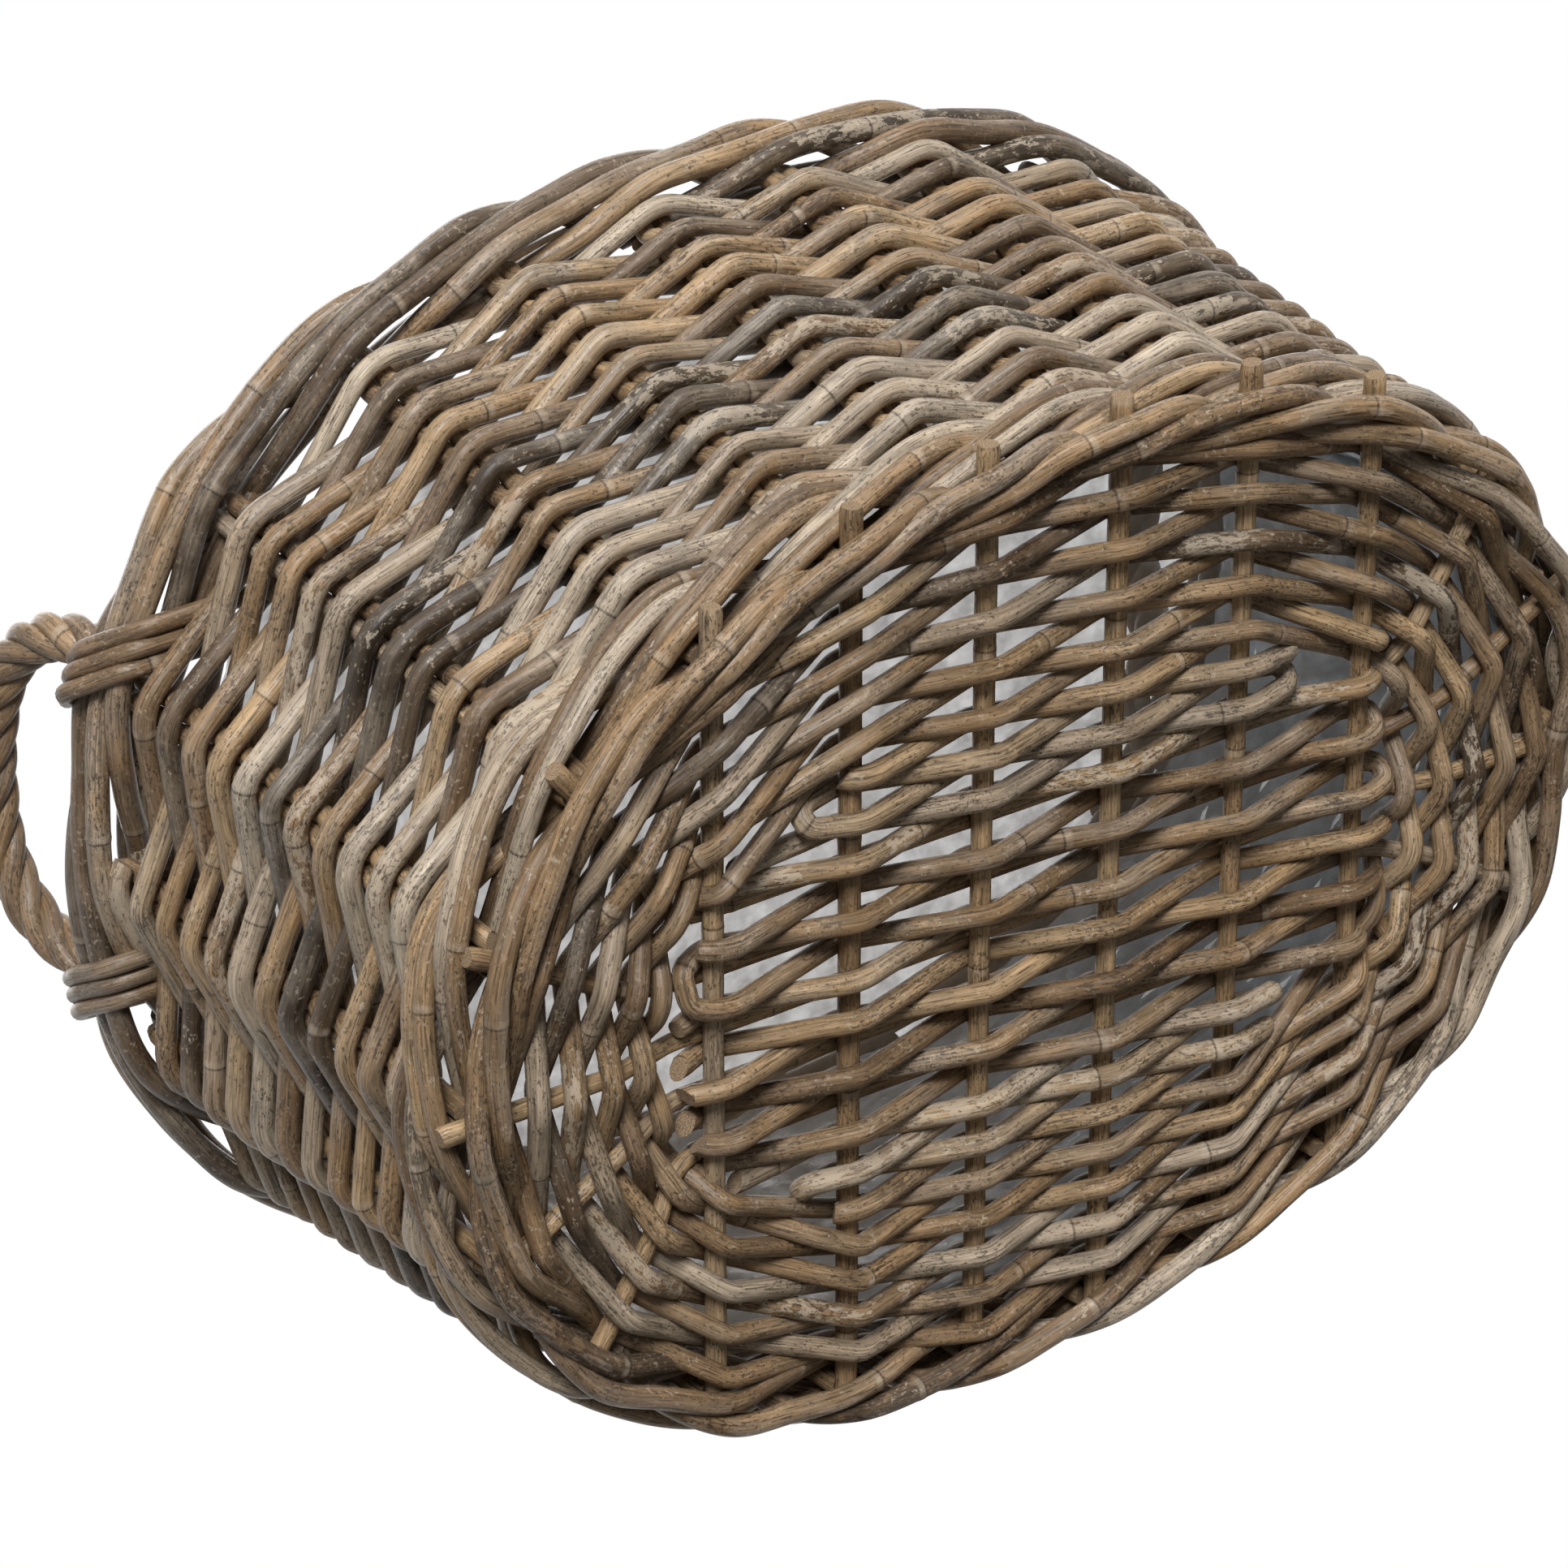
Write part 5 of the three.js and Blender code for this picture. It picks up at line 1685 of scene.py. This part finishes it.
def binding_points(across):
    """Laps round the border. Each leans over, so its top and bottom are at other places along it."""
    top, bottom, top_out, bottom_out = LAPS[across]
    corners = [
        (top, top_out, BINDING_TOP),
        ((top + bottom) / 2, BINDING_BULGE, BINDING_OVER),
        (bottom, bottom_out, BINDING_BOTTOM),
        (bottom - BINDING_PITCH / 3, -1, BINDING_UNDER),
        (top - BINDING_PITCH * 2 / 3, -1, BINDING_TOP),
    ]
    points = []
    first = 0 if across == HANDLE_LOW_SIDE else -1
    for i in range(first, BINDING_LAPS * len(corners) - 1):
        y, out, up = corners[i % len(corners)]
        points.append(binding_corner(y - BINDING_PITCH * (i // len(corners)), out, up))
    return points


print("laps of each binding:", BINDING_LAPS)

# %% Both handles
HANDLE_SIZES = {
    "Thickness": ROPE_STRAND, "Sides": 14, "Wander": 0.0004, "Joint Spacing": 0.15, "Joint Rise": 0.04,
}
STRAND_BEND = 0.003


def turned_round(points):
    return [Vector((-p.x, -p.y, p.z)) for p in points]


def make_handles():
    ropes = wound_strands(even_points(bow_points(), ROPE_STEP))
    bindings = [binding_points(across) for across in (HANDLE_LOW_SIDE, HANDLE_HIGH_SIDE)]
    for name, place in (("handle_left", list), ("handle_right", turned_round)):
        rods = Rods()
        for strand in ropes:
            rods.add(place(strand), pick_tone(HANDLE_TONES), dice.uniform(0.96, 1.04), bend=STRAND_BEND)
        for binding in bindings:
            rods.add(place(binding), pick_tone(HANDLE_TONES), BINDING_ROD / ROPE_STRAND, bend=BINDING_BEND)
        make_piece(name, rods, "rattan_handle", HANDLE_BARK, **HANDLE_SIZES)


make_handles()
print("handles made, rods in all:", Rods.made)

# %% [markdown]
# ## The liner
#
# A thin clear film lines the basket, so that what is kept in it doesn't catch on the
# rods. It is one sheet pushed down into the basket, so it is full of creases. A simulated
# cloth would have to find its way between a hundred bends of rods. So the creases are made
# by moving the points of a fine grid with layered noise whose ridges are sharp.

# %% The creases
CREASE = 0.0034
CREASE_SIZE = 26.0
CREASE_LAYERS = ((1.0, 0.6), (2.3, 0.28), (5.1, 0.12))
CREASE_SHIFT_X, CREASE_SHIFT_Y, CREASE_SHIFT_Z = 3.1, 1.7, 9.2
RIDGE_SHARPNESS = 1.6
CREASE_LIFT = 0.4
CREASE_DEEPEST = -0.001


def crease_at(point):
    """How far the film stands off its smooth shape at a point: ridged noise in three sizes."""
    height = 0.0
    for octave, share in CREASE_LAYERS:
        shift = Vector((CREASE_SHIFT_X * octave, CREASE_SHIFT_Y, CREASE_SHIFT_Z))
        value = noise.noise(point * CREASE_SIZE * octave + shift)
        height += share * (1 - 2 * abs(value) * RIDGE_SHARPNESS)
    return max(CREASE * (height + CREASE_LIFT), CREASE_DEEPEST)


print("creases up to", round(CREASE * (1 + CREASE_LIFT) * 1000, 1), "mm high")

# %% The film's smooth shape, as rings from the rim down the wall and in over the floor
LINER_STEPS_ROUND = 264
LINER_STEPS_UP = 44
LINER_RINGS_IN = 40
LINER_INSET = 0.0044
LINER_FLOOR_LIFT = 0.0015


def liner_outline(height, inset):
    """The oval of the liner at a height, as even points on a smooth curve through the stakes."""
    loop = [place.at(height, -inset) for place in STATIONS]
    steps = LINER_STEPS_ROUND // COUNT
    points = []
    for index in range(COUNT):
        a, b, c, d = (loop[(index + k) % COUNT] for k in (-1, 0, 1, 2))
        for k in range(steps):
            t = k / steps
            square, cube = (2 * a - 5 * b + 4 * c - d) * t * t, (3 * b - a - 3 * c + d) * t ** 3
            points.append(raised(0.5 * (2 * b + (c - a) * t + square + cube), height))
    return points


def liner_rings(top, floor_height, inset):
    rings = []
    for k in range(LINER_STEPS_UP + 1):
        share = k / LINER_STEPS_UP
        rings.append(liner_outline(top + (floor_height - top) * share, inset))
    floor = rings[-1]
    centre = Vector((0, 0, floor_height))
    for k in range(1, LINER_RINGS_IN):
        share = 1 - k / LINER_RINGS_IN
        rings.append([centre.lerp(point, share) for point in floor])
    return rings


print("rings of the film:", LINER_STEPS_UP + LINER_RINGS_IN)

# %% The film's mesh
LEVEL_WITH_FLOOR = 1e-6
MIDDLE_RISE = 0.002


def make_film_mesh():
    low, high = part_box("clear_liner")
    inset = station(0).at(high.z).x - high.x + LINER_INSET
    floor_height = low.z + LINER_FLOOR_LIFT
    mesh = bmesh.new()
    grid = []
    for ring in liner_rings(high.z, floor_height, inset):
        row = []
        for point in ring:
            inward = Vector((-point.x, -point.y, 0)).normalized()
            push = Vector((0, 0, 1)) if point.z <= floor_height + LEVEL_WITH_FLOOR else inward
            row.append(mesh.verts.new(point + push * crease_at(point)))
        grid.append(row)
    middle = mesh.verts.new(Vector((0, 0, floor_height)) + Vector((0, 0, MIDDLE_RISE)))
    for upper, lower in zip(grid, grid[1:]):
        for i in range(LINER_STEPS_ROUND):
            j = (i + 1) % LINER_STEPS_ROUND
            mesh.faces.new((upper[i], upper[j], lower[j], lower[i]))
    for i in range(LINER_STEPS_ROUND):
        mesh.faces.new((grid[-1][i], grid[-1][(i + 1) % LINER_STEPS_ROUND], middle))
    bmesh.ops.recalc_face_normals(mesh, faces=mesh.faces)
    made = bpy.data.meshes.new("clear_liner_film")
    mesh.to_mesh(made)
    mesh.free()
    return made


print("points in a ring of the film:", LINER_STEPS_ROUND)

# %% The film's material: milky where it is wrinkled, pale and warm at the -X end as painted light shining through it, and cooler at the +X end as painted shade
# Both colours are paler than a clear film would be, as painted light coming through it from inside. The
# warm one stands for backlight at the -X end, and the cool one for shade at the +X end.
FILM_WARM_PAINTED_LIGHT = (0.86, 0.82, 0.77, 1)
FILM_COOL_PAINTED_SHADE = (0.72, 0.80, 0.88, 1)
CLOUD_SCALE = 9.0
WRINKLE_SCALE = 90.0
FILM_ROUGHNESS = 0.22


def film_material():
    material, w = new_material("clear_film")
    place = w.node("ShaderNodeTexCoord").outputs["Object"]
    along = w.node("ShaderNodeSeparateXYZ", {0: place}).outputs["X"]
    # The share runs along X, with a little noise, from the painted backlight to the painted shade.
    backlit_to_shaded = w.math("MULTIPLY_ADD", w.noise(place, CLOUD_SCALE, 2.0).outputs["Fac"], 0.2, along)
    colour = w.mix(w.between(backlit_to_shaded, -0.05, 0.25), FILM_WARM_PAINTED_LIGHT, FILM_COOL_PAINTED_SHADE)
    wrinkle = w.noise(place, WRINKLE_SCALE, 4.0, 0.6).outputs["Fac"]
    bump = w.node("ShaderNodeBump", {"Height": wrinkle, "Strength": 0.5, "Distance": 0.002}).outputs[0]
    looks = {
        "Base Color": colour, "Roughness": FILM_ROUGHNESS, "Normal": bump, "Specular IOR Level": 0.5,
        "Alpha": w.between(wrinkle, 0.3, 0.7, 0.45, 0.75),
    }
    shader = w.node("ShaderNodeBsdfPrincipled", looks)
    w.node("ShaderNodeOutputMaterial", {"Surface": shader.outputs[0]})
    return material


print("roughness of the film:", FILM_ROUGHNESS)


def make_liner():
    piece = add_to_scene("clear_liner_film", make_film_mesh())
    piece.data.materials.append(film_material())
    piece.data.shade_smooth()
    set_in_place(piece, "clear_film", "clear_liner")


make_liner()

# %% [markdown]
# ## Floor, backdrop and light
#
# A pale floor carries the basket's shadow. From below it is clear, so that the underside
# can be seen. The backdrop is white to the camera, and a plain soft light comes from all
# round. A room with walls would do the same, but it would cost time in every picture.

# %% The floor
FLOOR_RADIUS = 4.0
FLOOR_CORNERS = 96
FLOOR_COLOUR = (0.82, 0.81, 0.80, 1)


def floor_material():
    """Matt from above, and clear from below."""
    material, w = new_material("floor")
    matt = w.node("ShaderNodeBsdfDiffuse", {"Color": FLOOR_COLOUR}).outputs[0]
    clear = w.node("ShaderNodeBsdfTransparent").outputs[0]
    behind = w.node("ShaderNodeNewGeometry").outputs["Backfacing"]
    both = w.node("ShaderNodeMixShader", {0: behind, 1: matt, 2: clear}).outputs[0]
    w.node("ShaderNodeOutputMaterial", {"Surface": both})
    return material


def make_floor():
    mesh = bmesh.new()
    bmesh.ops.create_circle(mesh, cap_ends=True, radius=FLOOR_RADIUS, segments=FLOOR_CORNERS)
    made = bpy.data.meshes.new("floor")
    mesh.to_mesh(made)
    mesh.free()
    made.materials.append(floor_material())
    floor = add_to_scene("floor", made)
    floor.visible_diffuse = False
    floor.visible_shadow = False
    print("floor:", FLOOR_RADIUS * 2, "m across")


make_floor()

# %% The world: white to the camera and in reflections, and dimmer as a light
AMBIENT = 0.18


def make_world():
    world = bpy.data.worlds.new("studio")
    bpy.context.scene.world = world
    world.use_nodes = True
    world.node_tree.nodes.clear()
    w = Wiring(world.node_tree)
    rays = w.node("ShaderNodeLightPath").outputs
    through = w.math("MAXIMUM", rays["Is Glossy Ray"], rays["Is Transmission Ray"])
    seen = w.math("MAXIMUM", rays["Is Camera Ray"], through)
    strength = w.between(seen, 0.0, 1.0, AMBIENT, 1.0)
    light = w.node("ShaderNodeBackground", {"Color": (1, 1, 1, 1), "Strength": strength}).outputs[0]
    w.node("ShaderNodeOutputWorld", {"Surface": light})
    print("light from all round:", AMBIENT)


make_world()

# %% [markdown]
# The key lamp stands above the camera, so that each rod is pale on top and dark below. The
# fill is near the camera and opens the shadows. A third lamp shines from above, for the
# views in which the basket stands upright. Each is far away and wide, so its shadows are
# soft.

# %% Lamps
KEY_FROM, KEY_STRENGTH, KEY_SOFTNESS = camera_up * 0.85 + camera_back * 0.5 + CAMERA_RIGHT * 0.1, 1.6, 12
FILL_FROM, FILL_STRENGTH, FILL_SOFTNESS = camera_back + camera_up * 0.45 - CAMERA_RIGHT * 0.1, 3.15, 18
TOP_FROM, TOP_STRENGTH, TOP_SOFTNESS = Vector((0.3, 0.2, 1.0)), 1.4, 50


def sun(name, direction, strength, softness_degrees):
    """A lamp far away in a direction, with soft shadows."""
    data = bpy.data.lights.new(name, "SUN")
    data.energy = strength
    data.angle = math.radians(softness_degrees)
    lamp = add_to_scene(name, data)
    lamp.rotation_mode = "QUATERNION"
    lamp.rotation_quaternion = direction.normalized().to_track_quat("Z", "Y")


sun("key", KEY_FROM, KEY_STRENGTH, KEY_SOFTNESS)
sun("fill", FILL_FROM, FILL_STRENGTH, FILL_SOFTNESS)
sun("top", TOP_FROM, TOP_STRENGTH, TOP_SOFTNESS)
bpy.context.scene.view_settings.view_transform = "Standard"
print("lamps:", [lamp.name for lamp in bpy.data.lights])

# %% [markdown]
